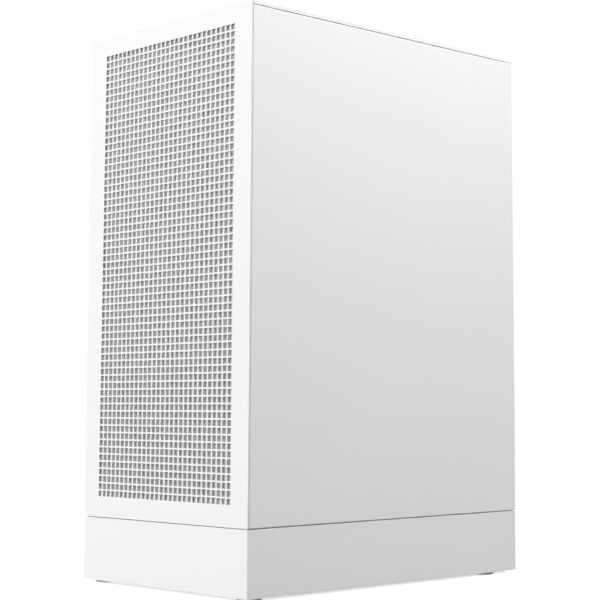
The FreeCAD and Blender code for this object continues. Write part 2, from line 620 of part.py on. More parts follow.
def shell_port(x, y, half_x, half_y, wall, depth, tongue, corner):
    """A plug-in socket that opens upwards: its metal shell and its contact tongue."""
    z1 = PORT_BASE + depth
    outer = round_box(x - half_x, x + half_x, y - half_y, y + half_y, PORT_BASE, z1, corner, Z)
    inner = round_box(x - half_x + wall, x + half_x - wall, y - half_y + wall, y + half_y - wall,
                      PORT_BASE + 0.8, z1, max(corner - wall, 0.2), Z)
    tab = box(x - half_x + tongue[0], x + half_x - tongue[0], y + tongue[1], y + tongue[2],
              PORT_BASE + 0.8, z1 - 1.0)
    return outer.cut(inner), tab


def top_ports():
    """Two USB-A sockets, one USB-C socket and the headset jack."""
    shells, tabs = [], []
    for x in USB_A_X:
        shell, tab = shell_port(x, STRIP_Y, 6.6, 2.9, 0.35, 7.4, (1.1, 0.3, 2.1), 0.5)
        shells.append(shell)
        tabs.append(tab)
    shell, tab = shell_port(USB_C_X, STRIP_Y, 4.5, 1.7, 0.3, 7.4, (1.2, -0.35, 0.35), 1.6)
    shells.append(shell)
    tabs.append(tab)
    jack = rod(JACK_X, STRIP_Y, PORT_BASE, Z, 3.0, 7.4)
    jack = jack.cut(rod(JACK_X, STRIP_Y, PORT_BASE + 0.8, Z, JACK_R, 7.0))
    return Part.makeCompound(shells), tabs + [jack]


def power_button():
    """Round cap with a flange that keeps it under the strip, and a stem onto its switch."""
    low, high = HEIGHT - 2.9, HEIGHT - BUTTON_DIP
    cap = rod(BUTTON_X, STRIP_Y, low, Z, BUTTON_R, high - low)
    cap = cap.makeFillet(0.5, [e for e in cap.Edges if e.BoundBox.ZMin > high - TINY])
    flange = rod(BUTTON_X, STRIP_Y, low, Z, BUTTON_R + 0.8, 0.8)
    stem = rod(BUTTON_X, STRIP_Y, PORT_BASE + 2.6 + 0.2, Z, 1.5, low - PORT_BASE - 2.8)
    return fuse([cap, flange, stem])


# ---- Motherboard -------------------------------------------------------------------------
BOARD_HOLES = [(y, z) for y in (BOARD[0] + 6.4, BOARD[1] - 10.2) for z in (BOARD[2] + 6.4, BOARD[3] - 6.4)]


def motherboard():
    """The main circuit board with its fixing holes."""
    y0, y1, z0, z1 = BOARD
    plate = box(BOARD_X, BOARD_X + BOARD_T, y0, y1, z0, z1)
    return cut(plate, [rod(BOARD_X, y, z, X, 2.0, BOARD_T) for y, z in BOARD_HOLES])


def standoffs():
    """Brass hexagon standoffs between the tray and the board."""
    made = []
    for y, z in BOARD_HOLES:
        corners = [Vector(BOARD_X + BOARD_T, y + 3.2 * math.cos(math.radians(60 * i)),
                          z + 3.2 * math.sin(math.radians(60 * i))) for i in range(7)]
        post = Part.Face(Part.makePolygon(corners)).extrude(Vector(TRAY_X - BOARD_X - BOARD_T, 0, 0))
        made.append(post.cut(rod(BOARD_X + BOARD_T, y, z, X, 1.5, 5.5)))
    return made


def board_screws():
    """Pan-head screws with a cross recess."""
    made = []
    for y, z in BOARD_HOLES:
        head = rod(BOARD_X - 2.0, y, z, X, 3.2, 2.0)
        head = head.makeFillet(0.8, [e for e in head.Edges if abs(e.BoundBox.XMax - BOARD_X + 2.0) < TINY])
        cross = [box(BOARD_X - 2.0, BOARD_X - 1.0, y - a, y + a, z - b, z + b)
                 for a, b in ((1.8, 0.4), (0.4, 1.8))]
        made.append(cut(head.fuse(rod(BOARD_X, y, z, X, 1.4, 5.0)), cross))
    return made


MEMORY_Y = (-22.0, -12.5)
MEMORY_Z = (238.0, 372.0)


def memory_slots():
    """Memory sockets with their latches."""
    made = []
    for y in MEMORY_Y:
        body = box(BOARD_X - 8.0, BOARD_X, y - 3.2, y + 3.2, MEMORY_Z[0] - 4, MEMORY_Z[1] + 4)
        groove = box(BOARD_X - 8.0, BOARD_X - 2.5, y - 0.8, y + 0.8, MEMORY_Z[0] - 0.2, MEMORY_Z[1] + 0.2)
        made.append(body.cut(groove))
        for z in (MEMORY_Z[0] - 8.0, MEMORY_Z[1] + 4.0):
            made.append(round_box(BOARD_X - 14.0, BOARD_X, y - 2.2, y + 2.2, z, z + 4.0, 1.0, Y))
    return made


def memory_modules():
    """Two modules: circuit board and folded heat spreader."""
    made = []
    for y in MEMORY_Y:
        z0, z1 = MEMORY_Z
        made.append(box(BOARD_X - 34.0, BOARD_X - 3.0, y - 0.6, y + 0.6, z0, z1))
        cover = round_box(BOARD_X - 42.0, BOARD_X - 9.0, y - 3.4, y + 3.4, z0 + 1, z1 - 1, 1.2, Z)
        cover = cover.cut(box(BOARD_X - 34.2, BOARD_X - 9.0, y - 0.6, y + 0.6, z0 - 1, z1 + 1))
        notches = [box(BOARD_X - 42.0, BOARD_X - 39.5, y - 3.4, y + 3.4, z - 5, z + 5)
                   for z in [z0 + 134.0 * k / 6 for k in (1, 3, 5)]]
        made.append(cut(cover, notches))
    return Part.makeCompound(made)


def on_socket(low, high, half_y, half_z):
    """A block over the processor socket, between two distances from the board."""
    return box(BOARD_X - high, BOARD_X - low, SOCKET_Y - half_y, SOCKET_Y + half_y,
               SOCKET_Z - half_z, SOCKET_Z + half_z)


def processor():
    """Socket frame on the board, with the processor in it."""
    frame = on_socket(0, 4.0, 28, 26)
    seat = on_socket(1.5, 4.0, 20, 20)
    chip = on_socket(1.5, 3.2, 19.8, 19.8)
    cap = rounded(on_socket(3.2, 6.0, 17, 17), 3, X)
    return Part.makeCompound([frame.cut(seat), chip.fuse(cap).removeSplitter()])


def board_covers():
    """Finned blocks over the power stages and the drive slot, and the plastic port cover."""
    x0 = BOARD_X - 1.0
    upper = box(x0 - 22, x0, 10, 86, 372.5, 386.0)
    upper = cut(upper, [box(x0 - 22, x0 - 6, y - 1.2, y + 1.2, 372.5, 386.0)
                        for y in [14.5 + 6.0 * i for i in range(12)]])
    drive = round_box(BOARD_X - 9.0, BOARD_X - 3.5, 16.0, 97.8, 236.0, 262.0, 2.0, X)
    drive = cut(drive, [box(BOARD_X - 9.0, BOARD_X - 7.0, y - 0.8, y + 0.8, 236.0, 262.0)
                        for y in [24.0 + 8.0 * i for i in range(9)]])
    pads = box(x0, BOARD_X, 14, 82, 374.0, 384.5)
    return Part.makeCompound([upper.fuse(pads).removeSplitter(), drive, io_cover()])


def drive_module():
    """Solid-state drive stick and its socket under the lower heatsink."""
    stick = box(BOARD_X - 3.5, BOARD_X - 2.5, 18.0, 98.0, 238.0, 260.0)
    socket = box(BOARD_X - 4.2, BOARD_X, 98.2, 103.5, 238.0, 260.0).cut(
        box(BOARD_X - 3.6, BOARD_X - 2.4, 98.2, 100.0, 237.0, 261.0))
    post = rod(BOARD_X - 2.5, 20.5, 249.0, X, 2.0, 2.5)
    return [stick, socket, post]


def board_connectors():
    """Sockets and headers of the board, its coin cell and its solid-state drive stick."""
    card = box(BOARD_X - 11.0, BOARD_X, 30.0, 119.0, SLOT_Z - 3.7, SLOT_Z + 3.7)
    card = card.cut(box(BOARD_X - 11.0, BOARD_X - 3.0, 32.0, 117.0, SLOT_Z - 0.9, SLOT_Z + 0.9))
    main = box(BOARD_X - 12.5, BOARD_X, BOARD[0] + 1.0, BOARD[0] + 10.4, MAIN_Z - 26.2, MAIN_Z + 26.2)
    main = main.cut(box(BOARD_X - 12.5, BOARD_X - 6.0, BOARD[0] + 1.9, BOARD[0] + 9.5,
                        MAIN_Z - 25.3, MAIN_Z + 25.3))
    fan_head = box(BOARD_X - 9.0, BOARD_X, -3.0, 3.0, 379.0, 387.0).cut(
        box(BOARD_X - 9.0, BOARD_X - 2.0, -2.0, 2.0, 380.0, 386.0))
    cell = rod(BOARD_X - 5.0, 3.0, 250.0, X, 10.2, 5.0)
    small = [box(BOARD_X - 8.5, BOARD_X, -34.0, -28.5, z, z + w) for z, w in ((232, 22), (258, 12))]
    return Part.makeCompound([card, main, fan_head, cell] + small + memory_slots() + drive_module())


MAIN_Z = 322.0           # middle of the 24-pin power header


# ---- Rear ports --------------------------------------------------------------------------
# Each has its middle height, its width along Z and its reach from the board along -X.
REAR_PORTS = {
    "usb_upper": (371.6, 13.6, 15.6),
    "video": (354.0, 16.6, 15.0),
    "usb_middle": (336.4, 13.6, 15.6),
    "network": (318.8, 16.4, 27.0),
    "usb_lower": (301.2, 13.6, 15.6),
    "antenna": (283.6, 15.0, 9.0),
    "audio": (262.0, 12.6, 34.0),
}
PORT_Y = 136.3           # mouths of the rear ports
AUDIO_PITCH = 11.0
AUDIO_X = [BOARD_X - 6.2 - AUDIO_PITCH * i for i in range(3)]


def mouth(x, z, half_x, half_z, depth, tongue=None):
    """A socket's opening from the rear, less the contact tongue that stands in it."""
    hole = box(x - half_x, x + half_x, PORT_Y - depth, PORT_Y, z - half_z, z + half_z)
    if tongue:
        low, high, half = tongue
        hole = hole.cut(box(x + low, x + high, PORT_Y - depth, PORT_Y - 1.0, z - half, z + half))
    return hole


def audio_jacks(z, width):
    """Three jacks stacked on the board, each its own moulding with a round nose."""
    made = []
    for x in AUDIO_X:
        near = BOARD_X if x == AUDIO_X[0] else x + AUDIO_PITCH / 2
        body = box(x - AUDIO_PITCH / 2, near, PORT_Y - 17.0, PORT_Y - 0.8, z - width / 2, z + width / 2)
        nose = rod(x, PORT_Y - 0.8, z, Y, 4.0, 0.8)
        made.append(fuse([body, nose]).cut(rod(x, PORT_Y - JACK_DEPTH, z, Y, JACK_R, JACK_DEPTH)))
    return made


def antenna_posts(z, width, reach):
    """Block with two threaded aerial sockets."""
    block = box(BOARD_X - reach, BOARD_X, PORT_Y - 17.0, PORT_Y - 2.4, z - width / 2, z + width / 2)
    for dz in (-4.6, 4.6):
        post = rod(BOARD_X - 5.0, PORT_Y - 2.4, z + dz, Y, 3.1, 3.2)
        block = block.fuse(post.cut(rod(BOARD_X - 5.0, PORT_Y - 1.0, z + dz, Y, 1.9, 3.0)))
    return block.removeSplitter()


def port_mouths(name, z):
    """The openings of one port block: each one's place, half size, depth and tongue."""
    usb = (2.4, 6.1, 10, (-1.6, 0.2, 5.2))
    if name.startswith("usb"):
        return [mouth(BOARD_X - d, z, *usb) for d in (5.0, 12.2)]
    if name == "video":
        return [mouth(BOARD_X - 4.4, z, 2.2, 7.2, 9, (-0.6, 0.6, 5.6)),
                mouth(BOARD_X - 11.0, z, 2.3, 7.6, 9, (-0.6, 0.6, 6.2))]
    return [mouth(BOARD_X - 20.5, z, 5.1, 6.0, 12)] + [mouth(BOARD_X - d, z, *usb) for d in (4.4, 10.8)]


def rear_ports():
    """Metal port blocks at the board's rear edge."""
    made = []
    for name, (z, width, reach) in REAR_PORTS.items():
        if name == "audio":
            made += audio_jacks(z, width)
        elif name == "antenna":
            made.append(antenna_posts(z, width, reach))
        else:
            block = box(BOARD_X - reach, BOARD_X, PORT_Y - 17.0, PORT_Y, z - width / 2, z + width / 2)
            made.append(cut(block, port_mouths(name, z)))
    return Part.makeCompound(made)


def io_shield():
    """Steel plate that fills the rear opening round the ports."""
    x0, x1, z0, z1 = IO_CUT
    plate = box(x0 + 0.2, x1 - 0.2, CH_REAR - 0.9, CH_REAR - 0.3, z0 + 0.2, z1 - 0.2)
    holes = []
    for z, width, reach in REAR_PORTS.values():
        half = width / 2 + 0.3
        holes.append(box(BOARD_X - reach - 0.3, BOARD_X + 0.3, CH_REAR - 1, CH_REAR, z - half, z + half))
    return cut(plate, holes)


def io_cover():
    """Plastic cover over the port blocks."""
    x0, x1 = BOARD_X - 38.0, BOARD_X - 2.0
    body = box(x0, x1, 106.0, 133.6, 239.0, 387.0)
    body = body.makeFillet(4.0, [e for e in body.Edges if abs(e.BoundBox.XMax - x0) < TINY
                                 and abs(e.BoundBox.YMax - 106.0) < TINY])
    return body.cut(box(x0 + 1.6, x1, 107.6, 133.6, 240.6, 385.4))


# ---- Processor cooler --------------------------------------------------------------------
PIPE_Y = [SOCKET_Y + v for v in centred(4, 9.0)]
PIPE_R = 3.0
FIN_FIRST, FIN_LAST = 22.0, -74.0
TOWER_Z = (254.0, 370.0)
PIPE_Z = (SOCKET_Z - 30.0, SOCKET_Z + 30.0)


def pipe_path(y):
    """A heat pipe's line: up through the fins, across the base and up again."""
    x_base, x_top = BOARD_X - 12.0, FIN_LAST - 1.2
    low, high = PIPE_Z
    bend = 12.0
    k = bend * (1 - math.sqrt(0.5))
    a = Part.makeLine(Vector(x_top, y, low), Vector(x_base - bend, y, low))
    b = Part.Arc(Vector(x_base - bend, y, low), Vector(x_base - k, y, low + k),
                 Vector(x_base, y, low + bend)).toShape()
    c = Part.makeLine(Vector(x_base, y, low + bend), Vector(x_base, y, high - bend))
    d = Part.Arc(Vector(x_base, y, high - bend), Vector(x_base - k, y, high - k),
                 Vector(x_base - bend, y, high)).toShape()
    e = Part.makeLine(Vector(x_base - bend, y, high), Vector(x_top, y, high))
    return Part.Wire([a, b, c, d, e]), Vector(x_top, y, low)


def cooler_base():
    """Copper contact block and the four heat pipes soldered into it."""
    x_mid = BOARD_X - 12.0
    block = box(x_mid - 5.0, BOARD_X - 6.0, SOCKET_Y - 22, SOCKET_Y + 22, SOCKET_Z - 17, SOCKET_Z + 17)
    block = cut(block, [rod(x_mid, y, SOCKET_Z - 18, Z, PIPE_R + 0.02, 36) for y in PIPE_Y])
    pipes = []
    for y in PIPE_Y:
        path, start = pipe_path(y)
        profile = Part.Wire(Part.Circle(start, X, PIPE_R).toShape())
        pipes.append(path.makePipeShell([profile], True, True))
    return Part.makeCompound([block] + pipes)


def cooler_mounts():
    """Steel crossbars, spacers and screws that press the base onto the processor, and fan clips."""
    made = []
    for side in (-1, 1):
        y = SOCKET_Y + side * 24.5
        x = BOARD_X - 8.4
        pieces = [box(x, x + 2.0, y - 2.5, y + 2.5, SOCKET_Z - 40, SOCKET_Z + 40)]
        for z in (SOCKET_Z - 36.0, SOCKET_Z + 36.0):
            pieces.append(rod(x - 2.5, y, z, X, 2.2, 2.5))
            pieces.append(rod(x + 2.0, y, z, X, 2.4, 6.4))
        made.append(fuse(pieces))
    for x in (FIN_LAST + 8.0, FIN_FIRST - 8.0):
        for z in (TOWER_Z[0] - 2.6, TOWER_Z[1] + 2.6):
            made.append(box(x - 0.6, x + 0.6, CPU_FAN_Y - 6.0, TOWER_Y[1] - 6, z - 0.6, z + 0.6))
    return Part.makeCompound(made)


def cooler_fins():
    """Stack of thin aluminium fins pressed onto the heat pipes."""
    count = 41
    gap = (FIN_FIRST - FIN_LAST) / (count - 1)
    y0, y1 = TOWER_Y
    z0, z1 = TOWER_Z
    one = box(0, 0.5, y0, y1, z0, z1)
    one = rounded(one, 4.0, X)
    pipes = [rod(0, y, z, X, PIPE_R, 0.5) for y in PIPE_Y for z in PIPE_Z]
    notches = [rod(0, y, z, X, 7.0, 0.5) for y in (y0 - 3, y1 + 3) for z in (z0 + 24, z0 + 58, z0 + 92)]
    one = cut(one, pipes + notches)
    return Part.makeCompound([moved(one, FIN_LAST + gap * i, 0, 0) for i in range(count)])


# ---- Graphics card -----------------------------------------------------------------------
def card_board():
    """Circuit board with its edge contacts, video sockets and power socket."""
    x0, x1, y0, y1 = CARD
    plate = box(x0 + 8.0, x1 + 0.5, y0 + 4.0, y1 + 3.0, SLOT_Z - 0.8, SLOT_Z + 0.8)
    tab = box(x1 + 0.5, BOARD_X - 3.6, 32.5, 116.5, SLOT_Z - 0.8, SLOT_Z + 0.8)
    return Part.makeCompound([plate.fuse(tab).removeSplitter(), *card_ports()])


def card_backplate():
    """Stiffening plate on the back of the card, on four pillars."""
    x0, x1, y0, y1 = CARD
    plate = round_box(x0 + 6.0, x1 - 2.0, y0, y1 - 2.0, SLOT_Z + 1.8, SLOT_Z + 2.8, 4.0, Z)
    slot = turned(round_box(-1.5, 1.5, -14, 14, SLOT_Z + 1.8, SLOT_Z + 2.8, 1.4, Z), Z, -35)
    slots = [moved(slot, CARD_FAN_X, y0 + 22 + 10.0 * i, 0) for i in range(6)]
    posts = [rod(x, y, SLOT_Z + 0.8, Z, 2.5, 1.0) for x in (x0 + 14, x1 - 10) for y in (y0 + 12, y1 - 14)]
    return fuse([cut(plate, slots)] + posts)


def card_shroud():
    """Thin-walled card cover with two fan ducts, their motor mounts and its fixing posts."""
    x0, x1, y0, y1 = CARD
    z0, z1 = CARD_BOTTOM, SLOT_Z - 5.0
    duct, floor = CARD_FAN_R + 1.2, 2.5
    body = box(x0, x1, y0, y1, z0, z1)
    edges = [e for e in body.Edges if e.BoundBox.ZMax - e.BoundBox.ZMin > 10 and e.BoundBox.YMax < 0]
    body = body.makeFillet(8.0, edges)
    low = [e for e in body.Edges if e.BoundBox.ZMax < z0 + TINY and e.BoundBox.YMin < y1 - 1]
    body = body.makeChamfer(1.6, low)
    body = body.cut(box(x0 + 2, x1 - 2, y0 + 2, y1, z0 + floor, z1))
    walls = [rod(CARD_FAN_X, y, z0, Z, duct + 1.6, 13.0) for y in CARD_FAN_Y]
    posts = [rod(x0 + 9.5, y, z0 + 1, Z, 2.2, SLOT_Z - 0.8 - z0 - 1) for y in (27.0, 113.0)]
    rail = box(x1 - 2, x1, y0 + 12, y1 - 8, z1, SLOT_Z - 0.8)
    vents = [box(x0 - 1, x0 + 3, y - 6, y + 6, z0 + 19.0, z0 + 23.0)
             for y in [y0 + 42 + 17.0 * i for i in range(9)]]
    socket = box(x0 - 1, x0 + 14, CARD_SOCKET_Y - 10.5, CARD_SOCKET_Y + 10.5, z0 + 12.5, z1)
    body = fuse([body, rail] + walls + posts)
    body = cut(body, vents + [socket] + [rod(CARD_FAN_X, y, z0, Z, duct, 20) for y in CARD_FAN_Y])
    return body.multiFuse(card_motor_mounts()).removeSplitter()


CARD_SOCKET_Y = -46.0
CARD_SOCKET_Z = SLOT_Z - 10.0


def card_motor_mounts():
    """Motor pillars of the card's fans, held by three struts each."""
    z0 = CARD_BOTTOM + 13.0
    made = []
    for y in CARD_FAN_Y:
        centre = Vector(CARD_FAN_X, y, 0)
        disc = rod(CARD_FAN_X, y, z0 - 1.2, Z, 15.0, 1.2)
        pillar = rod(CARD_FAN_X, y, CARD_BOTTOM + 5.0, Z, 4.0, 6.8)
        strut = box(CARD_FAN_X + 12, CARD_FAN_X + CARD_FAN_R + 2.0, y - 2, y + 2, z0 - 1.2, z0)
        arms = [turned(strut, Z, 30 + 120 * i, centre) for i in range(3)]
        made.append(fuse([disc, pillar] + arms).cut(rod(CARD_FAN_X, y, CARD_BOTTOM, Z, 1.55, 11.8)))
    return made


def card_rotors():
    """The card's two fans, facing down."""
    made = []
    for y in CARD_FAN_Y:
        one = rotor(CARD_FAN_R, 15.0, 9.0, 9, 20, pitch=46, rim=5.0)
        one = turned(one, X, 180)
        made.append(moved(one, CARD_FAN_X, y, CARD_BOTTOM + 6.4))
    return made


def card_heatsink():
    """Fin blocks and base plate of the card, above its fans."""
    x0, x1, y0, y1 = CARD
    z0, z1 = CARD_BOTTOM + 13.4, SLOT_Z - 5.0
    base = box(x0 + 16, x1 - 6, y0 + 12, y1 - 8, z1, z1 + 2.2)
    fins = box(x0 + 16, x1 - 3, y0 + 6, y1 - 2, z0, z1)
    gaps = [box(x0 + 15, x1 - 2, y, y + 2.6, z0, z1 - 1.5) for y in [y0 + 6.7 + 3.3 * i for i in range(57)]]
    chip = box(-22, 14, -2, 34, z1 + 2.2, SLOT_Z - 0.8)
    return fuse([cut(fins, gaps), base, chip])


def card_bracket():
    """Two-slot steel bracket with video sockets' openings and a screw tab."""
    y0 = CH_REAR - SHEET - 1.0
    low, high = BRACKET_Z[1] - 9.2, BRACKET_Z[0] + 9.2
    plate = box(-61.3, 59.5, y0, y0 + 0.9, low, high)
    notch = box(53.0, 60.0, y0, y0 + 0.9, low, high).cut(
        fuse([box(53.0, 60.0, y0, y0 + 0.9, z - 5.0, z + 5.0) for z in BRACKET_Z[:2]]))
    tab = box(-61.3, -60.3, y0 - 12.0, y0, low, high)
    screws = [rod(-62.0, y0 - 6.1, z, X, 1.9, 3.0) for z in BRACKET_Z[:2]]
    ports = [box(x - 8.3, x + 8.3, y0, y0 + 0.9, BRACKET_Z[0] - 3.2, BRACKET_Z[0] + 3.4) for x in CARD_PORT_X]
    vents = [box(x - 1.4, x + 1.4, y0, y0 + 0.9, BRACKET_Z[1] - 5.5, BRACKET_Z[1] + 5.5)
             for x in centred(17, 5.6)]
    return cut(plate.fuse(tab), [notch] + screws + ports + vents)


CARD_PORT_X = (-37.0, -15.0, 7.0, 29.0)


def card_ports():
    """Four video sockets on their feet, and the card's power socket."""
    made = []
    z = BRACKET_Z[0]
    for x in CARD_PORT_X:
        shell = box(x - 8.0, x + 8.0, CARD[3] + 1.0, CH_REAR - 0.2, z - 2.9, z + 3.1)
        foot = box(x - 7.0, x + 7.0, CARD[3] + 0.5, CARD[3] + 2.8, z - 2.9, SLOT_Z - 0.8)
        inner = box(x - 7.3, x + 7.3, CH_REAR - 5.0, CH_REAR, z - 2.2, z + 2.4)
        tongue = box(x - 5.8, x + 5.8, CH_REAR - 5.0, CH_REAR - 1.2, z - 0.4, z + 0.6)
        made.append(shell.fuse(foot).cut(inner.cut(tongue)).removeSplitter())
    x0, x1 = CARD[0] + 1.0, CARD[0] + 13.0
    y0, y1 = CARD_SOCKET_Y - 9.6, CARD_SOCKET_Y + 9.6
    power = box(x0, x1, y0, y1, CARD_SOCKET_Z - 4.8, CARD_SOCKET_Z + 4.8)
    power = power.fuse(box(x1 - 4.0, x1, y0, y1, CARD_SOCKET_Z, SLOT_Z - 0.8))
    power = power.cut(box(x0, x0 + 7.0, y0 + 0.8, y1 - 0.8, CARD_SOCKET_Z - 4.0, CARD_SOCKET_Z + 4.0))
    return made + [power.removeSplitter()]


def slot_screws():
    """Thumbscrews that clamp the card's bracket to the ledge."""
    made = []
    for z in BRACKET_Z:
        y = CH_REAR - SHEET - 7.1
        head = rod(-68.5, y, z, X, 4.0, 6.0)
        grips = [turned(box(-68.5, -63.5, y + 3.6, y + 4.6, z - 0.5, z + 0.5), X, 30 * i, Vector(0, y, z))
                 for i in range(12)]
        made.append(cut(head, grips).fuse(rod(-62.5, y, z, X, 1.5, 4.0)).removeSplitter())
    return made


# ---- Power supply ------------------------------------------------------------------------
INLET_X, SWITCH_X = 48.0, 20.0
INLET_Z = 94.0


def psu_case():
    """Folded steel box with a vented rear, and a round fan opening with its wire guard underneath."""
    x0, x1, y0, y1, z0, z1 = PSU
    shell = box(x0, x1, y0, y1, z0, z1).cut(box(x0 + 1, x1 - 1, y0 + 1, y1 - 1, z0 + 1, z1 - 1))
    intake = rod(PSU_FAN_X, PSU_FAN_Y, z0, Z, 58.0, 1.0)
    columns = [-66 + PITCH * i for i in range(26)]
    rows = [60.5 + PITCH * i for i in range(13)]
    holes = [(x, z) for x in columns for z in rows if x < 8 or z < 76]
    h = 1.9
    vents = [box(x - h, x + h, y1 - 1, y1, z - h, z + h) for x, z in holes]
    inlet = box(INLET_X - 13.8, INLET_X + 13.8, y1 - 1, y1, INLET_Z - 10.0, INLET_Z + 10.0)
    switch = box(SWITCH_X - 6.8, SWITCH_X + 6.8, y1 - 1, y1, INLET_Z - 10.2, INLET_Z + 10.2)
    sockets = [box(x - 13, x + 13, y0, y0 + 1, z - 5, z + 5) for x in (-50, -18, 14, 46) for z in (112, 92)]
    case = cut(shell.cut(intake), vents + [inlet, switch] + sockets)
    return Part.makeCompound([case, psu_guard()])


def psu_sockets():
    """Modular cable sockets at the front of the power supply."""
    made = []
    for x in (-50, -18, 14, 46):
        for z in (112, 92):
            body = box(x - 12.8, x + 12.8, PSU[2] - 1.5, PSU[2] + 8.0, z - 4.8, z + 4.8)
            made.append(body.cut(box(x - 11.8, x + 11.8, PSU[2] - 1.5, PSU[2] + 5.0, z - 3.9, z + 3.9)))
    return made


def psu_inlet():
    """Three-pin mains inlet with its pins, and the bezel and pin of the rocker switch."""
    y1 = PSU[3]
    flange = round_box(INLET_X - 15.5, INLET_X + 15.5, y1, y1 + 2.0, INLET_Z - 12.0, INLET_Z + 12.0, 2.5, Y)
    body = box(INLET_X - 13.6, INLET_X + 13.6, y1 - 20.0, y1, INLET_Z - 9.8, INLET_Z + 9.8)
    inside = box(INLET_X - 12.0, INLET_X + 12.0, y1 - 15.0, y1 + 2.0, INLET_Z - 8.0, INLET_Z + 8.0)
    corners = [e for e in inside.Edges if e.BoundBox.YMax - e.BoundBox.YMin > 5 and e.BoundBox.ZMin > INLET_Z]
    inside = inside.makeChamfer(4.5, corners)
    pins = [moved(box(-1.0, 1.0, y1 - 15.0, y1 - 1.0, -2.0, 2.0), INLET_X + dx, 0, INLET_Z + dz)
            for dx, dz in ((-7.0, -1.5), (0.0, 3.0), (7.0, -1.5))]
    return Part.makeCompound([fuse([flange, body]).cut(inside), *pins, psu_switch_bezel()])


PIVOT_Y = PSU[3] - 5.0   # the rocker's pin
ROCKER_TILT = 8.0        # degrees, either way


def psu_switch_bezel():
    """Bezel and well of the rocker switch, with the pin that the rocker turns on."""
    y1 = PSU[3]
    x0, x1 = SWITCH_X - 6.6, SWITCH_X + 6.6
    bezel = round_box(x0 - 1.0, x1 + 1.0, y1, y1 + 1.6, INLET_Z - 11.2, INLET_Z + 11.2, 1.5, Y)
    body = box(x0, x1, y1 - 12.0, y1, INLET_Z - 10.0, INLET_Z + 10.0)
    room = box(x0 + 1.4, x1 - 1.4, y1 - 10.0, y1 + 1.6, INLET_Z - 8.8, INLET_Z + 8.8)
    pin = rod(x0 + 1.0, PIVOT_Y, INLET_Z, X, 1.0, x1 - x0 - 2.0)
    return fuse([fuse([bezel, body]).cut(room), pin])


def psu_switch_rocker():
    """Rocker with two facets, resting on the side that is on."""
    x0, x1 = SWITCH_X - 4.9, SWITCH_X + 4.9
    half = [(0.0, 5.6), (7.2, 6.6), (7.0, 3.4), (2.6, -2.4)]
    outline = half + [(-z, y) for z, y in reversed(half[1:])] + half[:1]
    key = Part.Face(Part.makePolygon([Vector(x0, PIVOT_Y + y, INLET_Z + z) for z, y in outline]))
    key = key.extrude(Vector(x1 - x0, 0, 0)).cut(rod(x0, PIVOT_Y, INLET_Z, X, 1.05, x1 - x0))
    return turned(key, X, ROCKER_TILT, Vector(0, PIVOT_Y, INLET_Z))


def psu_inside():
    """Circuit board, heatsinks, transformer, capacitors and the cable sockets at the front."""
    x0, x1, y0, y1, z0, z1 = PSU
    board = box(x0 + 3, x1 - 3, y0 + 9.5, y1 - 21, z1 - 6.0, z1 - 4.4)
    sinks = [box(x, x + 3, y0 + 22, y1 - 34, z1 - 40, z1 - 6) for x in (-38.0, 30.0)]
    core = box(-14, 18, 36, 72, z1 - 36, z1 - 6)
    cans = [rod(x, y, z1 - 38, Z, 9.0, 32.0) for x, y in ((-56, 30), (-56, 54), (52, 30))]
    posts = [rod(x, y, z1 - 4.4, Z, 2.5, 3.4) for x in (x0 + 8, x1 - 8) for y in (y0 + 16, y1 - 26)]
    return Part.makeCompound([fuse([board] + posts), *sinks, core, *cans, *psu_sockets()])


def psu_fan():
    """The power supply's fan, facing down."""
    def place(shape):
        return moved(turned(shape, X, 180), PSU_FAN_X, PSU_FAN_Y, PSU[4] + 1.0 + CPU_FAN[1] / 2)
    return fan(CPU_FAN, 9, 34, place)


def psu_guard():
    """Rings and arms of the wire guard under the fan."""
    z = PSU[4] - 0.7
    centre = Vector(PSU_FAN_X, PSU_FAN_Y, z)
    rings = [Part.makeTorus(r, 0.6, centre, Z) for r in (14, 22, 30, 38, 46, 54)]
    arm = box(PSU_FAN_X + 12, PSU_FAN_X + 62, PSU_FAN_Y - 0.6, PSU_FAN_Y + 0.6, z - 0.5, PSU[4])
    return fuse(rings + [turned(arm, Z, 45 + 90 * i, centre) for i in range(4)])


# ---- Cables ------------------------------------------------------------------------------
# Each route is straight runs joined by arcs, from a socket of the power supply or the port
# board to its plug.
PLUG_Y = PSU[2] - 12.0           # front of the plugs in the power supply
MAIN_PLUG_X = BOARD_X - 22.0
MAIN_CABLE = [(14, PLUG_Y, 112), (14, -40, 112), (15, -61, 116), (17, -78, 129), (19, -87, 149),
              (20, -88, 174), (20, -87, 202), (18, -84, 228), (15, -77, 252), (11.5, -67, 270),
              (8, -54, 285), (5.2, -43, 299.7), (8.9, -37.7, 309.8), (16.9, -33.6, 317.7),
              (27.9, BOARD[0] + 5.7, 322), (MAIN_PLUG_X, BOARD[0] + 5.7, 322)]
CARD_CABLE = [(-50, PLUG_Y, 112), (-50, -29, 112), (-54.5, -40, 113), (-64, -47.5, 117),
              (-74, -49.5, 125.5), (-78.5, -48.5, 138), (-79, -47, 156), (-78, CARD_SOCKET_Y, 182),
              (-77.5, CARD_SOCKET_Y, 205.6), (-73.7, CARD_SOCKET_Y, 212.2),
              (-67.1, CARD_SOCKET_Y, 216), (CARD[0] - 1.5, CARD_SOCKET_Y, 216)]
PORT_CABLE = [(60, -112, 396.6), (60, -111.4, 393.4), (60, -107, 391), (60, -100, 390), (59, -93, 386),
              (57, -84, 374), (53, -72, 354), (46, -60, 330), (39, -50, 308), (32.6, -41.5, 288.3),
              (31, -35.7, 274.6), (32.7, -33.7, 269.8), (36.4, -32.1, 266.1), (41.4, -31.2, 264),
              (BOARD_X - 14.0, -31.2, 264)]
CABLES = {"main": (MAIN_CABLE, 3.5), "card": (CARD_CABLE, 2.0), "port": (PORT_CABLE, 1.5)}
SHROUD_WIRE_HOLES = [(19.0, -85.0), (-76.5, -47.0)]


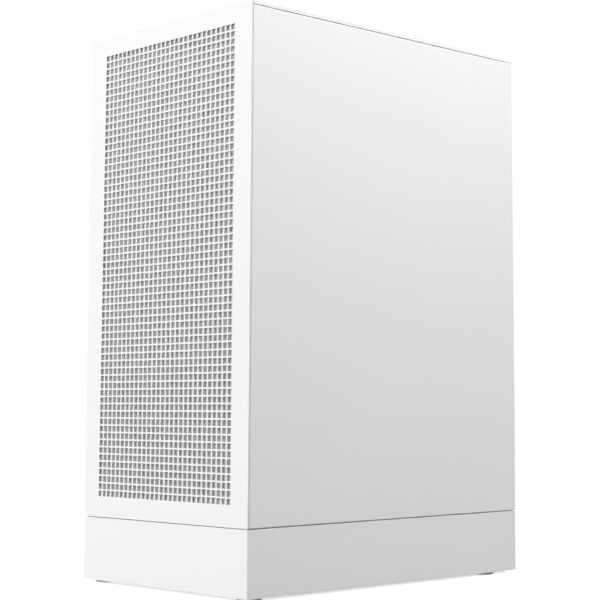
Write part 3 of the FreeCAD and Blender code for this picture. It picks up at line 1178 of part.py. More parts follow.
def supply_plug(x):
    """A plug in one of the power supply's sockets."""
    return box(x - 11.5, x + 11.5, PLUG_Y, PSU[2] + 4.8, 112 - 3.7, 112 + 3.7)


def cable_plugs():
    """The plugs at the cables' ends."""
    y, z = BOARD[0] + 5.7, MAIN_Z
    main = box(MAIN_PLUG_X, BOARD_X - 6.2, y - 3.6, y + 3.6, z - 25.1, z + 25.1)
    y, z = CARD_SOCKET_Y, CARD_SOCKET_Z
    card = box(CARD[0] - 1.5, CARD[0] + 7.8, y - 8.6, y + 8.6, z - 3.8, z + 3.8)
    port = box(BOARD_X - 14.0, BOARD_X - 8.5, -34.0, -28.4, 258.4, 269.6)
    return [main, card, port, supply_plug(MAIN_CABLE[0][0]), supply_plug(CARD_CABLE[0][0])]


def internal_cables():
    """Board, card and port cables with their plugs."""
    return Part.makeCompound([tube(points, radius) for points, radius in CABLES.values()] + cable_plugs())


def turn_radii(points):
    """The radius of each bend of a route."""
    pts = [Vector(*p) for p in points]
    radii = []
    for before, here, after in zip(pts, pts[1:], pts[2:]):
        a, b = before - here, after - here
        half_turn = (math.pi - a.getAngle(b)) / 2
        radii.append(round(0.45 * min(a.Length, b.Length) / math.tan(half_turn), 1))
    return radii


# ---- Build -------------------------------------------------------------------------------
def chassis_screws():
    """Screws of the three case fans, and the card's thumbscrews."""
    made = []
    for middle in FRONT_FAN_Z:
        for x, dz in screw_offsets(FRONT_FAN[0]):
            z = middle + dz
            made.append(rod(x, CH_FRONT - 1.6, z, Y, 3.4, 1.6).fuse(rod(x, CH_FRONT, z, Y, 2.1, 5.0)))
    for dx, dz in screw_offsets(REAR_FAN[0]):
        x, z = REAR_FAN_X + dx, REAR_FAN_Z + dz
        made.append(rod(x, CH_REAR, z, Y, 3.4, 1.4).fuse(rod(x, CH_REAR - 6.0, z, Y, 2.1, 6.0)))
    return Part.makeCompound([s.removeSplitter() for s in made] + slot_screws())


def add_fans(parts):
    """Each fan gives a frame and a rotor; the two front frames share a node."""
    frames = []
    for name, z in zip(("lower", "upper"), FRONT_FAN_Z):
        place = blowing_back(0, CH_FRONT + SHEET + FRONT_FAN[1] / 2, z)
        frame, parts[f"front_fan_{name}_rotor"] = fan(FRONT_FAN, 9, 44, place)
        frames.append(frame)
    parts["front_fan_frames"] = Part.makeCompound(frames)
    place = blowing_back(REAR_FAN_X, CH_REAR - SHEET - REAR_FAN[1] / 2, REAR_FAN_Z)
    parts["rear_fan_frame"], parts["rear_fan_rotor"] = fan(REAR_FAN, 9, 26, place)
    place = blowing_back(CPU_FAN_X, CPU_FAN_Y, SOCKET_Z)
    parts["cpu_fan_frame"], parts["cpu_fan_rotor"] = fan(CPU_FAN, 9, 36, place)
    parts["psu_fan_frame"], parts["psu_fan_rotor"] = psu_fan()
    parts["card_fan_front"], parts["card_fan_rear"] = card_rotors()


def build():
    """Every node of the tower, by name."""
    parts = {
        "front_panel": front_panel(),
        "front_carrier": front_carrier(),
        "right_panel": side_panel(),
        "top_panel": top_panel(),
        "top_carrier": top_carrier(),
        "top_filter": Part.makeCompound(top_filter()),
        "plinth": plinth(),
        "feet": feet(),
        "base_filter": Part.makeCompound(base_filter()),
        "chassis_floor": chassis_floor(),
        "chassis_top": chassis_top(),
        "chassis_front": chassis_front(),
        "chassis_rear": Part.makeCompound([chassis_rear(), card_ledge()]),
        "chassis_screws": chassis_screws(),
        "panel_clips": clips(),
        "motherboard_tray": motherboard_tray(),
        "psu_shroud": psu_shroud(),
        "drive_cage": drive_cage(),
        "hard_drive": hard_drive(),
        "port_strip": port_strip(),
        "port_board": port_board(),
        "port_shells": top_ports()[0],
        "power_button": power_button(),
        "motherboard": motherboard(),
        "board_mounts": Part.makeCompound(standoffs() + board_screws()),
        "board_connectors": board_connectors(),
        "board_covers": board_covers(),
        "memory_modules": memory_modules(),
        "processor": processor(),
        "rear_ports": rear_ports(),
        "rear_port_plate": io_shield(),
        "cooler_base": cooler_base(),
        "cooler_mounts": cooler_mounts(),
        "cooler_fins": cooler_fins(),
        "card_board": card_board(),
        "card_backplate": card_backplate(),
        "card_shroud": card_shroud(),
        "card_heatsink": card_heatsink(),
        "card_bracket": card_bracket(),
        "psu_case": psu_case(),
        "psu_inlet": psu_inlet(),
        "psu_switch_rocker": psu_switch_rocker(),
        "psu_inside": psu_inside(),
        "internal_cables": internal_cables(),
    }
    parts["front_filter_frame"], parts["front_filter_mesh"] = front_filter()
    parts["left_glass"], parts["left_glass_frame"] = glass_panel()
    add_fans(parts)
    return parts


def main():
    os.makedirs("parts", exist_ok=True)
    for name, shape in build().items():
        shape.exportStep(f"parts/{name}.step")
    for name, (points, radius) in CABLES.items():
        print(name, "cable, radius", radius, "bends", turn_radii(points))


if __name__ == "__main__":
    main()
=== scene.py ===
import math
import random

import bmesh
import bpy
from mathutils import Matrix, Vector
from mathutils.bvhtree import BVHTree


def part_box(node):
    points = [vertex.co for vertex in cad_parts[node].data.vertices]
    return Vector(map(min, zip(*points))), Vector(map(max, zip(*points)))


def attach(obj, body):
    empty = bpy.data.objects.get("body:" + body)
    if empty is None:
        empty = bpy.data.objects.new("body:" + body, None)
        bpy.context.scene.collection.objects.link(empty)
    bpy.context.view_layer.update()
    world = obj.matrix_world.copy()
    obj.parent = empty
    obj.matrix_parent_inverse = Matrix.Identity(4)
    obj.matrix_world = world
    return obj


# Looks of a small white computer tower. Metres, +Z up, the punched front faces -Y.

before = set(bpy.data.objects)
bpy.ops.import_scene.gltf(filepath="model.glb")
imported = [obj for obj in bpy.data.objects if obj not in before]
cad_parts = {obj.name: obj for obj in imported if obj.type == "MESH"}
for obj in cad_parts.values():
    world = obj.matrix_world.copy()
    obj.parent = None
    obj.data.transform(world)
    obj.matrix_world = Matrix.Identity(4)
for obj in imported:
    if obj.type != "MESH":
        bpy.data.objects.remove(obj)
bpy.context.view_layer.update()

MM = 0.001
ROOT = "chassis"

# ---- View, light and floor ---------------------------------------------------------------
CAMERA_AT = (0.9055, -0.8296, 0.1301)
CAMERA_YAW = -45.10          # degrees from +Y
CAMERA_PITCH = 6.31          # degrees above level
CAMERA_LENS = 95.17
CAMERA_SHIFT = (-0.1217, -0.1185)
SENSOR = 36.0
SKY_SEEN = 1.05              # backdrop brightness
SKY_LIGHT = 0.5              # brightness that the backdrop sheds on the object
SKY_FULL = 0.35              # how far up the sky its light is full, from none at the horizon
FLOOR_SIZE = 12.0
FLOOR_GLOW = 0.72            # the floor's own brightness, so that it meets the backdrop unseen
FLOOR_TONES = (0.94, 0.955)
# name: place, aim, width, height, power in watts
LIGHTS = {
    "front_softbox": ((-0.35, -1.9, 1.0), (0.0, -0.1, 0.25), 1.6, 1.4, 24.7),
    "front_low_softbox": ((-0.5, -2.0, 0.45), (0.0, -0.1, 0.2), 1.6, 0.8, 15.9),
    "side_strip": ((0.75, 0.1, 1.2), (0.1, 0.05, 0.4), 0.6, 1.4, 15.7),
    "side_edge_strip": ((0.40, 0.1, 0.85), (0.1, 0.05, 0.4), 0.3, 1.2, 1.6),
    "left_softbox": ((-2.2, 0.4, 0.75), (0.0, 0.0, 0.25), 1.6, 1.4, 17.0),
    "rear_softbox": ((-0.7, 2.2, 0.9), (0.0, 0.1, 0.25), 1.6, 1.4, 15.0),
}


def aim(obj, place, target):
    """Stands an object at a place, looking at a target."""
    obj.location = place
    direction = Vector(target) - Vector(place)
    obj.rotation_euler = direction.to_track_quat("-Z", "Y").to_euler()


def add_camera():
    data = bpy.data.cameras.new("camera")
    camera = bpy.data.objects.new("camera", data)
    bpy.context.scene.collection.objects.link(camera)
    data.sensor_width = SENSOR
    data.lens = CAMERA_LENS
    data.shift_x, data.shift_y = CAMERA_SHIFT
    yaw, pitch = math.radians(CAMERA_YAW), math.radians(CAMERA_PITCH)
    level = math.cos(pitch)
    forward = Vector((math.sin(yaw) * level, math.cos(yaw) * level, math.sin(pitch)))
    aim(camera, CAMERA_AT, Vector(CAMERA_AT) + forward)
    bpy.context.scene.camera = camera


def add_lights():
    for name, (place, target, width, height, power) in LIGHTS.items():
        data = bpy.data.lights.new(name, "AREA")
        data.shape = "RECTANGLE"
        data.size, data.size_y = width, height
        data.energy = power
        light = bpy.data.objects.new(name, data)
        bpy.context.scene.collection.objects.link(light)
        light.visible_camera = False
        aim(light, place, target)


def add_sky():
    """A pale backdrop that looks even, and sheds less light towards the horizon."""
    world = bpy.data.worlds.new("sky")
    bpy.context.scene.world = world
    world.use_nodes = True
    tree = world.node_tree
    tree.nodes.clear()
    path = tree.nodes.new("ShaderNodeLightPath")
    seen = tree.nodes.new("ShaderNodeBackground")
    shed = tree.nodes.new("ShaderNodeBackground")
    mix = tree.nodes.new("ShaderNodeMixShader")
    out = tree.nodes.new("ShaderNodeOutputWorld")
    seen.inputs["Color"].default_value = (1, 1, 1, 1)
    seen.inputs["Strength"].default_value = SKY_SEEN
    place = tree.nodes.new("ShaderNodeTexCoord")
    parts = tree.nodes.new("ShaderNodeSeparateXYZ")
    above = tree.nodes.new("ShaderNodeMapRange")
    above.inputs["From Min"].default_value = 0.0
    above.inputs["From Max"].default_value = SKY_FULL
    tree.links.new(place.outputs["Generated"], parts.inputs["Vector"])
    tree.links.new(parts.outputs["Z"], above.inputs["Value"])
    tree.links.new(above.outputs["Result"], shed.inputs["Color"])
    shed.inputs["Strength"].default_value = SKY_LIGHT
    tree.links.new(path.outputs["Is Camera Ray"], mix.inputs["Fac"])
    tree.links.new(shed.outputs["Background"], mix.inputs[1])
    tree.links.new(seen.outputs["Background"], mix.inputs[2])
    tree.links.new(mix.outputs["Shader"], out.inputs["Surface"])


# ---- Materials ---------------------------------------------------------------------------
PAINT_EDGE = 0.35 * MM       # radius of painted sheet edges
HOLE_EDGE = 0.1 * MM         # radius of the painted edges round punched holes
PEEL_DEPTH = 0.05 * MM       # relief of the paint's orange peel
SPARK_DEPTH = 0.03 * MM      # relief of moulded plastic
THREAD_DEPTH = 0.03 * MM     # relief of the filter's weave
RUBBER_DEPTH = 0.04 * MM
TRACK_DEPTH = 0.03 * MM      # height of a circuit board's tracks
BRAID_DEPTH = 0.25 * MM
SOFT_EDGE = 0.3 * MM         # radius of plastic and rubber edges
METAL_EDGE = 0.2 * MM
# grey of the painted shade mixed into the filter mesh towards its bottom
FILTER_PAINTED_SHADE = (0.40, 0.40, 0.40)
THREADS_PER_METRE = 1600.0
PANE_ALPHA = 0.05            # how much the glass hides, seen through its face
RIM_ALPHA = 0.62             # how much more it hides through its edge


class Surface:
    """A principled material whose colour, roughness and relief come from procedural textures."""

    def __init__(self, name, roughness=0.5, metallic=0.0, **sockets):
        self.material = bpy.data.materials.new(name)
        self.material.use_nodes = True
        self.tree = self.material.node_tree
        self.shader = self.tree.nodes["Principled BSDF"]
        self.shader.inputs["Roughness"].default_value = roughness
        self.shader.inputs["Metallic"].default_value = metallic
        for socket, value in sockets.items():
            self.shader.inputs[socket.replace("_", " ")].default_value = value
        self.place = self.add("ShaderNodeTexCoord").outputs["Object"]
        self.normal = None

    def add(self, kind, **settings):
        node = self.tree.nodes.new(kind)
        for key, value in settings.items():
            setattr(node, key, value)
        return node

    def link(self, source, target):
        self.tree.links.new(source, target)

    def put(self, value, socket):
        """Links an output, or sets a constant."""
        if isinstance(value, bpy.types.NodeSocket):
            self.link(value, socket)
        else:
            socket.default_value = value

    def stretched(self, scale):
        mapping = self.add("ShaderNodeMapping")
        mapping.inputs["Scale"].default_value = scale
        self.link(self.place, mapping.inputs["Vector"])
        return mapping.outputs["Vector"]

    def noise(self, scale, detail=2.0, stretch=(1, 1, 1)):
        node = self.add("ShaderNodeTexNoise")
        node.inputs["Scale"].default_value = scale
        node.inputs["Detail"].default_value = detail
        self.link(self.stretched(stretch), node.inputs["Vector"])
        return node.outputs["Fac"]

    def cells(self, scale, stretch=(1, 1, 1), feature="F1"):
        node = self.add("ShaderNodeTexVoronoi", feature=feature)
        node.inputs["Scale"].default_value = scale
        self.link(self.stretched(stretch), node.inputs["Vector"])
        return node.outputs["Distance"]

    def wave(self, axis, per_metre):
        node = self.add("ShaderNodeTexWave", bands_direction=axis)
        node.inputs["Scale"].default_value = per_metre * math.pi / 10
        self.link(self.place, node.inputs["Vector"])
        return node.outputs["Fac"]

    def math(self, operation, a, b=0.0):
        node = self.add("ShaderNodeMath", operation=operation)
        self.put(a, node.inputs[0])
        self.put(b, node.inputs[1])
        return node.outputs[0]

    def ramp(self, fac, *stops):
        """Maps a factor through (position, grey or colour) stops."""
        node = self.add("ShaderNodeValToRGB")
        self.link(fac, node.inputs["Fac"])
        ramp = node.color_ramp
        while len(ramp.elements) < len(stops):
            ramp.elements.new(0.5)
        for element, (position, colour) in zip(ramp.elements, stops):
            if not isinstance(colour, tuple):
                colour = (colour, colour, colour)
            element.position = position
            element.color = (*colour, 1.0)
        return node.outputs["Color"]

    def mix(self, fac, a, b):
        node = self.add("ShaderNodeMix", data_type="RGBA")
        self.put(fac, node.inputs["Factor"])
        for value, socket in ((a, node.inputs["A"]), (b, node.inputs["B"])):
            if isinstance(value, tuple):
                value = (*value, 1.0)
            self.put(value, socket)
        return node.outputs["Result"]

    def colour(self, value):
        self.link(value, self.shader.inputs["Base Color"])
        return self

    def gloss(self, value):
        self.link(value, self.shader.inputs["Roughness"])
        return self

    def soften(self, radius):
        """Rounds sharp edges in shading by a small radius."""
        node = self.add("ShaderNodeBevel", samples=4)
        node.inputs["Radius"].default_value = radius
        self.normal = node.outputs["Normal"]
        self.link(self.normal, self.shader.inputs["Normal"])
        return self

    def relief(self, height, depth):
        """Adds a bump of a depth in metres."""
        node = self.add("ShaderNodeBump")
        node.inputs["Distance"].default_value = depth
        self.link(height, node.inputs["Height"])
        if self.normal is not None:
            self.link(self.normal, node.inputs["Normal"])
        self.normal = node.outputs["Normal"]
        self.link(self.normal, self.shader.inputs["Normal"])
        return self

    def facing(self, axis):
        """How much a face points along an axis of the object, either way."""
        geometry = self.add("ShaderNodeNewGeometry")
        parts = self.add("ShaderNodeSeparateXYZ")
        self.link(geometry.outputs["True Normal"], parts.inputs["Vector"])
        return self.math("ABSOLUTE", parts.outputs[axis])


def powder_coat(name, tone, roughness=0.46, edge=PAINT_EDGE):
    """Baked powder paint: a fine orange-peel relief and faint speckle."""
    s = Surface(name, roughness, IOR=1.5)
    s.soften(edge)
    cloud = s.noise(9.0, 3.0)
    speckle = s.noise(2600.0, 1.0)
    base = s.ramp(cloud, (0.3, tone * 0.985), (0.7, tone))
    fine = s.ramp(speckle, (0.35, 0.955), (0.62, 1.0))
    mixed = s.add("ShaderNodeMix", data_type="RGBA", blend_type="MULTIPLY")
    mixed.inputs["Factor"].default_value = 0.6
    s.link(base, mixed.inputs["A"])
    s.link(fine, mixed.inputs["B"])
    s.colour(mixed.outputs["Result"])
    s.gloss(s.ramp(s.noise(700.0, 2.0), (0.3, roughness - 0.05), (0.7, roughness + 0.07)))
    s.relief(s.noise(1500.0, 2.0), PEEL_DEPTH)
    s.relief(s.noise(420.0, 1.0), PEEL_DEPTH)
    return s.material


def moulded(name, colour, roughness=0.5, grain=1.0):
    """Moulded plastic with a fine spark-eroded texture."""
    s = Surface(name, roughness, IOR=1.49)
    s.soften(SOFT_EDGE)
    dark = tuple(c * 0.88 for c in colour)
    s.colour(s.mix(s.ramp(s.noise(40.0, 4.0), (0.3, 0.0), (0.7, 1.0)), dark, colour))
    s.gloss(s.ramp(s.noise(900.0, 2.0), (0.3, roughness - 0.06), (0.7, roughness + 0.1)))
    s.relief(s.noise(2200.0, 2.0), SPARK_DEPTH * grain)
    return s.material


def metal(name, colour, roughness=0.3, along=(1, 1, 14), depth=0.01, shade=0.82):
    """Rolled or brushed metal: streaks across the stretched axis, with a relief depth in mm."""
    s = Surface(name, roughness, 1.0)
    s.soften(METAL_EDGE)
    streak = s.noise(260.0, 4.0, along)
    dark = tuple(c * shade for c in colour)
    s.colour(s.mix(s.ramp(streak, (0.3, 0.0), (0.7, 1.0)), dark, colour))
    s.gloss(s.ramp(streak, (0.3, roughness - 0.08), (0.7, roughness + 0.12)))
    s.relief(streak, depth * MM)
    return s.material


def woven(name, light, dark, bottom_shade):
    """Fine plain-weave nylon: threads over and under each other, with painted shade that darkens it
    towards the bottom.
    """
    s = Surface(name, 0.62)
    a = s.wave("X", THREADS_PER_METRE)
    b = s.wave("Z", THREADS_PER_METRE)
    over = s.math("MULTIPLY", a, b)
    weave = s.mix(s.ramp(over, (0.1, 0.0), (0.75, 1.0)), dark, light)
    parts = s.add("ShaderNodeSeparateXYZ")
    s.link(s.place, parts.inputs["Vector"])
    height = s.math("DIVIDE", parts.outputs["Z"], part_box("front_filter_mesh")[1][2])
    # painted shade: the weave is mixed towards a grey, more strongly lower down
    s.colour(s.mix(s.ramp(height, (0.0, bottom_shade), (1.0, 0.0)), weave, FILTER_PAINTED_SHADE))
    s.relief(s.math("MAXIMUM", a, b), THREAD_DEPTH)
    return s.material


def rubber(name, dark, light):
    """Matt rubber between two tones."""
    s = Surface(name, 0.75)
    s.soften(SOFT_EDGE)
    s.colour(s.ramp(s.noise(300.0, 4.0), (0.3, dark), (0.7, light)))
    s.relief(s.noise(1400.0, 3.0), RUBBER_DEPTH)
    return s.material


def glass(name):
    """Clear tempered glass, greener and denser through its edge, with faint wipe marks."""
    s = Surface(name, 0.03, IOR=1.5)
    edge = s.math("SUBTRACT", 1.0, s.facing("X"))
    rim = s.math("GREATER_THAN", edge, 0.4)
    s.colour(s.mix(rim, (0.80, 0.86, 0.85), (0.16, 0.34, 0.29)))
    s.link(s.math("ADD", s.math("MULTIPLY", rim, RIM_ALPHA), PANE_ALPHA), s.shader.inputs["Alpha"])
    s.gloss(s.ramp(s.noise(14.0, 5.0, (1, 3, 1)), (0.45, 0.02), (0.75, 0.07)))
    return s.material


def circuit_board(name, colour):
    """Solder resist over copper tracks, with rows of small pads."""
    s = Surface(name, 0.38, Coat_Weight=0.2)
    tracks = s.cells(420.0, (1, 1, 0.25), "DISTANCE_TO_EDGE")
    line = s.ramp(tracks, (0.05, 1.0), (0.10, 0.0))
    lifted = tuple(min(1.0, c * 2.1 + 0.01) for c in colour)
    base = s.mix(line, colour, lifted)
    pads = s.ramp(s.cells(380.0, (1, 1, 1)), (0.13, 1.0), (0.17, 0.0))
    s.colour(s.mix(s.math("MULTIPLY", pads, 0.55), base, (0.55, 0.52, 0.45)))
    s.relief(line, TRACK_DEPTH)
    return s.material


def braided(name):
    """Sleeve woven round a cable, with painted shade in the hollows between its strands."""
    s = Surface(name, 0.7)
    weave = s.cells(620.0, (1, 1, 0.6))
    # painted shade: darker where the relief sinks between the strands
    s.colour(s.ramp(weave, (0.1, 0.07), (0.6, 0.012)))
    s.relief(weave, -BRAID_DEPTH)
    return s.material


def build_materials():
    """Gives every node its material, and returns the two that the added pieces share."""
    white = powder_coat("powder_white", 0.87)
    punched = powder_coat("powder_white_punched", 0.87, edge=HOLE_EDGE)
    inner = powder_coat("powder_inner", 0.84, 0.5)
    black = powder_coat("powder_black", 0.02, 0.42)
    plastic = moulded("plastic_white", (0.80, 0.80, 0.79))
    dark = moulded("plastic_black", (0.018, 0.018, 0.019), 0.42)
    grey = moulded("plastic_grey", (0.16, 0.16, 0.165), 0.5)
    fans = moulded("plastic_fan", (0.022, 0.022, 0.024), 0.36, 0.6)
    steel = metal("steel_zinc", (0.62, 0.62, 0.60), 0.34)
    alloy = metal("aluminium_fin", (0.44, 0.45, 0.46), 0.36, (14, 14, 0.5), 0.002, 0.93)
    nickel = metal("nickel_plate", (0.68, 0.66, 0.62), 0.2, (1, 1, 3), 0.004)
    copper = metal("copper_nickel", (0.70, 0.60, 0.52), 0.22, (1, 1, 3), 0.004)
    board = circuit_board("board_resist", (0.012, 0.020, 0.018))
    grommet = rubber("rubber_black", 0.018, 0.035)
    nylon = moulded("nylon", (0.74, 0.73, 0.68), 0.45)
    by_material = {
        white: ["right_panel", "plinth"],
        punched: ["front_panel", "top_panel"],
        inner: ["chassis_floor", "chassis_top", "chassis_front", "chassis_rear",
                "motherboard_tray", "psu_shroud", "drive_cage"],
        black: ["left_glass_frame", "psu_case", "card_backplate"],
        plastic: ["front_carrier", "top_carrier", "port_strip", "power_button"],
        dark: ["port_board", "board_connectors", "card_shroud", "psu_inlet",
               "psu_switch_rocker", "psu_inside"],
        grey: ["base_filter", "top_filter", "board_covers", "memory_modules"],
        moulded("plastic_pale", (0.55, 0.55, 0.545)): ["front_filter_frame"],
        fans: ["front_fan_frames", "rear_fan_frame", "cpu_fan_frame", "psu_fan_frame",
               "front_fan_lower_rotor", "front_fan_upper_rotor", "rear_fan_rotor", "cpu_fan_rotor",
               "psu_fan_rotor", "card_fan_front", "card_fan_rear"],
        steel: ["board_mounts", "card_bracket", "cooler_mounts"],
        metal("port_plate_steel", (0.40, 0.40, 0.39), 0.42): ["rear_port_plate"],
        metal("port_shell_steel", (0.26, 0.26, 0.25), 0.34): ["rear_ports"],
        alloy: ["cooler_fins", "card_heatsink", "hard_drive"],
        nickel: ["port_shells", "processor"],
        copper: ["cooler_base"],
        board: ["motherboard", "card_board"],
        metal("screw_black", (0.05, 0.05, 0.055), 0.4, (6, 6, 6)): ["chassis_screws"],
        nylon: ["panel_clips"],
        # the last number is how strongly painted shade darkens the filter at its bottom
        woven("filter_weave", (0.655, 0.655, 0.65), (0.625, 0.625, 0.625), 0.7): ["front_filter_mesh"],
        rubber("rubber_white", 0.74, 0.80): ["feet"],
        glass("tempered_glass"): ["left_glass"],
        braided("cable_braid"): ["internal_cables"],
    }
    for material, nodes in by_material.items():
        for node in nodes:
            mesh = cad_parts[node].data
            mesh.materials.clear()
            mesh.materials.append(material)
    missing = set(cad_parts) - {n for nodes in by_material.values() for n in nodes}
    if missing:
        raise ValueError(f"nodes with no material: {sorted(missing)}")
    return grommet, dark


# ---- Small parts -------------------------------------------------------------------------
BOARD_FACE, BOARD_Y0, BOARD_Z0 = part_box("motherboard")[0]
_, BOARD_Y1, BOARD_Z1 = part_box("motherboard")[1]
TALLEST_PART = 16.0 * MM     # nodes further than this from the board's face are out of the way
PART_GAP = 0.9 * MM          # free space kept round each small part
SEED = 11
CHOKE_HALF, CHOKE_HEIGHT = 3.6 * MM, 5.5 * MM
CAN_RADIUS, CAN_HEIGHT = 3.0 * MM, 7.8 * MM
CHIP_HEIGHT = 1.2 * MM       # height kept free over a chip
CHIP_KINDS = ((5.5, 5.5, 12), (4.0, 4.0, 9), (3.0, 2.4, 5),     # half sizes in mm, legs a side
              (3.0, 2.4, 5), (2.2, 2.6, 6), (2.4, 1.9, 4))
CHIPS_OF_A_KIND = 6
CHIP_TRIES = 40
LEG_REACH = 0.8 * MM
TINY_HALF_Y, TINY_HALF_Z, TINY_HEIGHT = 0.8 * MM, 0.45 * MM, 0.6 * MM
TINY_PITCH = 1.5 * MM
TINY_END = 0.65 * MM         # from the middle of a tiny part to its tinned end
TINY_ROWS = 260


def add_piece(name, bm, materials):
    """Makes a piece that rides on the chassis."""
    bmesh.ops.recalc_face_normals(bm, faces=bm.faces)
    mesh = bpy.data.meshes.new(name)
    bm.to_mesh(mesh)
    bm.free()
    for material in materials:
        mesh.materials.append(material)
    piece = bpy.data.objects.new(name, mesh)
    bpy.context.scene.collection.objects.link(piece)
    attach(piece, ROOT)
    return piece


def round_outline(half_u, half_v, corner, steps=3):
    """Points round a rectangle with round corners."""
    points = []
    for quarter in range(4):
        su, sv = ((1, 1), (-1, 1), (-1, -1), (1, -1))[quarter]
        for step in range(steps + 1):
            angle = math.pi / 2 * (quarter + step / steps)
            points.append((su * (half_u - corner) + corner * math.cos(angle),
                           sv * (half_v - corner) + corner * math.sin(angle)))
    return points


def loft(bm, place, outline, profile):
    """Joins copies of an outline, each (scale, height above the board, material), and caps both ends."""
    y, z = place
    rings = []
    for scale, height, _ in profile:
        x = BOARD_FACE - height
        rings.append([bm.verts.new((x, y + u * scale, z + v * scale)) for u, v in outline])
    for lower, upper, (_, _, material) in zip(rings, rings[1:], profile[1:]):
        for i in range(len(outline)):
            j = (i + 1) % len(outline)
            bm.faces.new((lower[i], lower[j], upper[j], upper[i])).material_index = material
    bm.faces.new(rings[0][::-1]).material_index = profile[0][2]
    bm.faces.new(rings[-1]).material_index = profile[-1][2]


def near_board(name):
    """Whether a node's box reaches the space over the board's component side."""
    low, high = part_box(name)
    return (high[0] >= BOARD_FACE - TALLEST_PART and low[0] <= BOARD_FACE
            and high[1] >= BOARD_Y0 and low[1] <= BOARD_Y1
            and high[2] >= BOARD_Z0 and low[2] <= BOARD_Z1)


def crowded_surfaces():
    """The surfaces of every node that comes near the board's component side."""
    vertices, faces = [], []
    for name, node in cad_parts.items():
        if name == "motherboard" or not near_board(name):
            continue
        start = len(vertices)
        vertices += [v.co.copy() for v in node.data.vertices]
        faces += [[start + i for i in face.vertices] for face in node.data.polygons]
    return BVHTree.FromPolygons(vertices, faces)


class Board:
    """Places small parts on the free parts of the board's face."""

    def __init__(self):
        self.others = crowded_surfaces()
        self.taken = []
        self.draw = random.Random(SEED)

    def free(self, y, z, half_y, half_z, height):
        """Whether nothing is near a part of a size at a place."""
        reach = math.hypot(half_y, half_z) + PART_GAP
        inside_y = BOARD_Y0 + half_y < y < BOARD_Y1 - half_y
        inside_z = BOARD_Z0 + half_z < z < BOARD_Z1 - half_z
        if not (inside_y and inside_z):
            return False
        for level in (0.2, 0.6, 1.0):
            centre = (BOARD_FACE - height * level, y, z)
            if self.others.find_nearest(centre, reach)[0] is not None:
                return False
        gap = PART_GAP / 3
        return all(abs(y - v) > half_y + hv + gap or abs(z - w) > half_z + hw + gap
                   for v, w, hv, hw in self.taken)

    def take(self, y, z, half_y, half_z, height):
        """Claims a place if nothing else is near it."""
        if not self.free(y, z, half_y, half_z, height):
            return False
        self.taken.append((y, z, half_y, half_z))
        return True


def board_chokes(board, materials):
    """Inductors beside the power stages, in a row and a column."""
    bm = bmesh.new()
    outline = round_outline(CHOKE_HALF, CHOKE_HALF, 0.9 * MM)
    body = [(0.94, 0.0, 0), (1.0, 0.5 * MM, 0), (1.0, 5.0 * MM, 0), (0.93, CHOKE_HEIGHT, 0),
            (0.66, CHOKE_HEIGHT, 0), (0.62, 5.2 * MM, 0), (0.2, 5.2 * MM, 0)]
    row = [(BOARD_Y0 + (52.0 + 9.0 * i) * MM, BOARD_Z1 - 22.5 * MM) for i in range(9)]
    column = [(BOARD_Y0 + 134.0 * MM, BOARD_Z0 + (58.0 + 9.6 * i) * MM) for i in range(10)]
    for y, z in row + column:
        if board.take(y, z, CHOKE_HALF, CHOKE_HALF, CHOKE_HEIGHT):
            loft(bm, (y, z), outline, body)
    add_piece("board_chokes", bm, materials)


def board_capacitors(board, materials):
    """Capacitor cans: dark base, crimped metal can, dark sunk top."""
    bm = bmesh.new()
    outline = round_outline(CAN_RADIUS, CAN_RADIUS, CAN_RADIUS, 5)
    can = [(1.05, 0.0, 1), (1.05, 0.9 * MM, 1), (0.96, 1.0 * MM, 1), (1.0, 1.3 * MM, 0),
           (1.0, 1.9 * MM, 0), (0.93, 2.2 * MM, 0), (0.93, 2.5 * MM, 0), (1.0, 2.8 * MM, 0),
           (1.0, 7.3 * MM, 0), (0.95, 7.7 * MM, 0), (0.86, CAN_HEIGHT, 0), (0.80, 7.65 * MM, 2)]
    places = [(BOARD_Y0 + (48.0 + 8.0 * i) * MM, BOARD_Z1 - 33.0 * MM) for i in range(11)]
    places += [(BOARD_Y0 + 125.5 * MM, BOARD_Z0 + (56.0 + 8.4 * i) * MM) for i in range(12)]
    places += [(BOARD_Y0 + 38.0 * MM, BOARD_Z0 + (22.0 + 9.0 * i) * MM) for i in range(7)]
    places += [(BOARD_Y0 + (6.0 + 8.0 * i) * MM, BOARD_Z0 + 6.5 * MM) for i in range(1, 20)]
    for y, z in places:
        if board.take(y, z, CAN_RADIUS, CAN_RADIUS, CAN_HEIGHT):
            loft(bm, (y, z), outline, can)
    add_piece("board_capacitors", bm, materials)


def leg_row(bm, y, z, half_y, half_z, count):
    """Short flat legs down both long sides of a chip."""
    foot = round_outline(0.45 * MM, 0.16 * MM, 0.05 * MM, 1)
    for side in (-1, 1):
        for i in range(count):
            at = (y + side * (half_y + 0.3 * MM), z + half_z * (2 * i - count + 1) / count)
            loft(bm, at, foot, [(1.0, 0.0, 1), (1.0, 0.35 * MM, 1), (0.8, 0.45 * MM, 1)])


def board_chips(board, materials):
    """Flat black chips with legs: controllers, and drivers for the power stages."""
    bm = bmesh.new()
    for half_y, half_z, legs in [kind for kind in CHIP_KINDS for _ in range(CHIPS_OF_A_KIND)]:
        half_y, half_z = half_y * MM, half_z * MM
        for _ in range(CHIP_TRIES):
            y = board.draw.uniform(BOARD_Y0, BOARD_Y1)
            z = board.draw.uniform(BOARD_Z0, BOARD_Z1)
            if board.take(y, z, half_y + LEG_REACH, half_z, CHIP_HEIGHT):
                top = [(0.97, 0.1 * MM, 0), (1.0, 0.5 * MM, 0), (0.96, 1.1 * MM, 0), (0.3, 1.1 * MM, 0)]
                loft(bm, (y, z), round_outline(half_y, half_z, 0.25 * MM, 2), top)
                leg_row(bm, y, z, half_y, half_z, legs)
                break
    add_piece("board_chips", bm, materials)


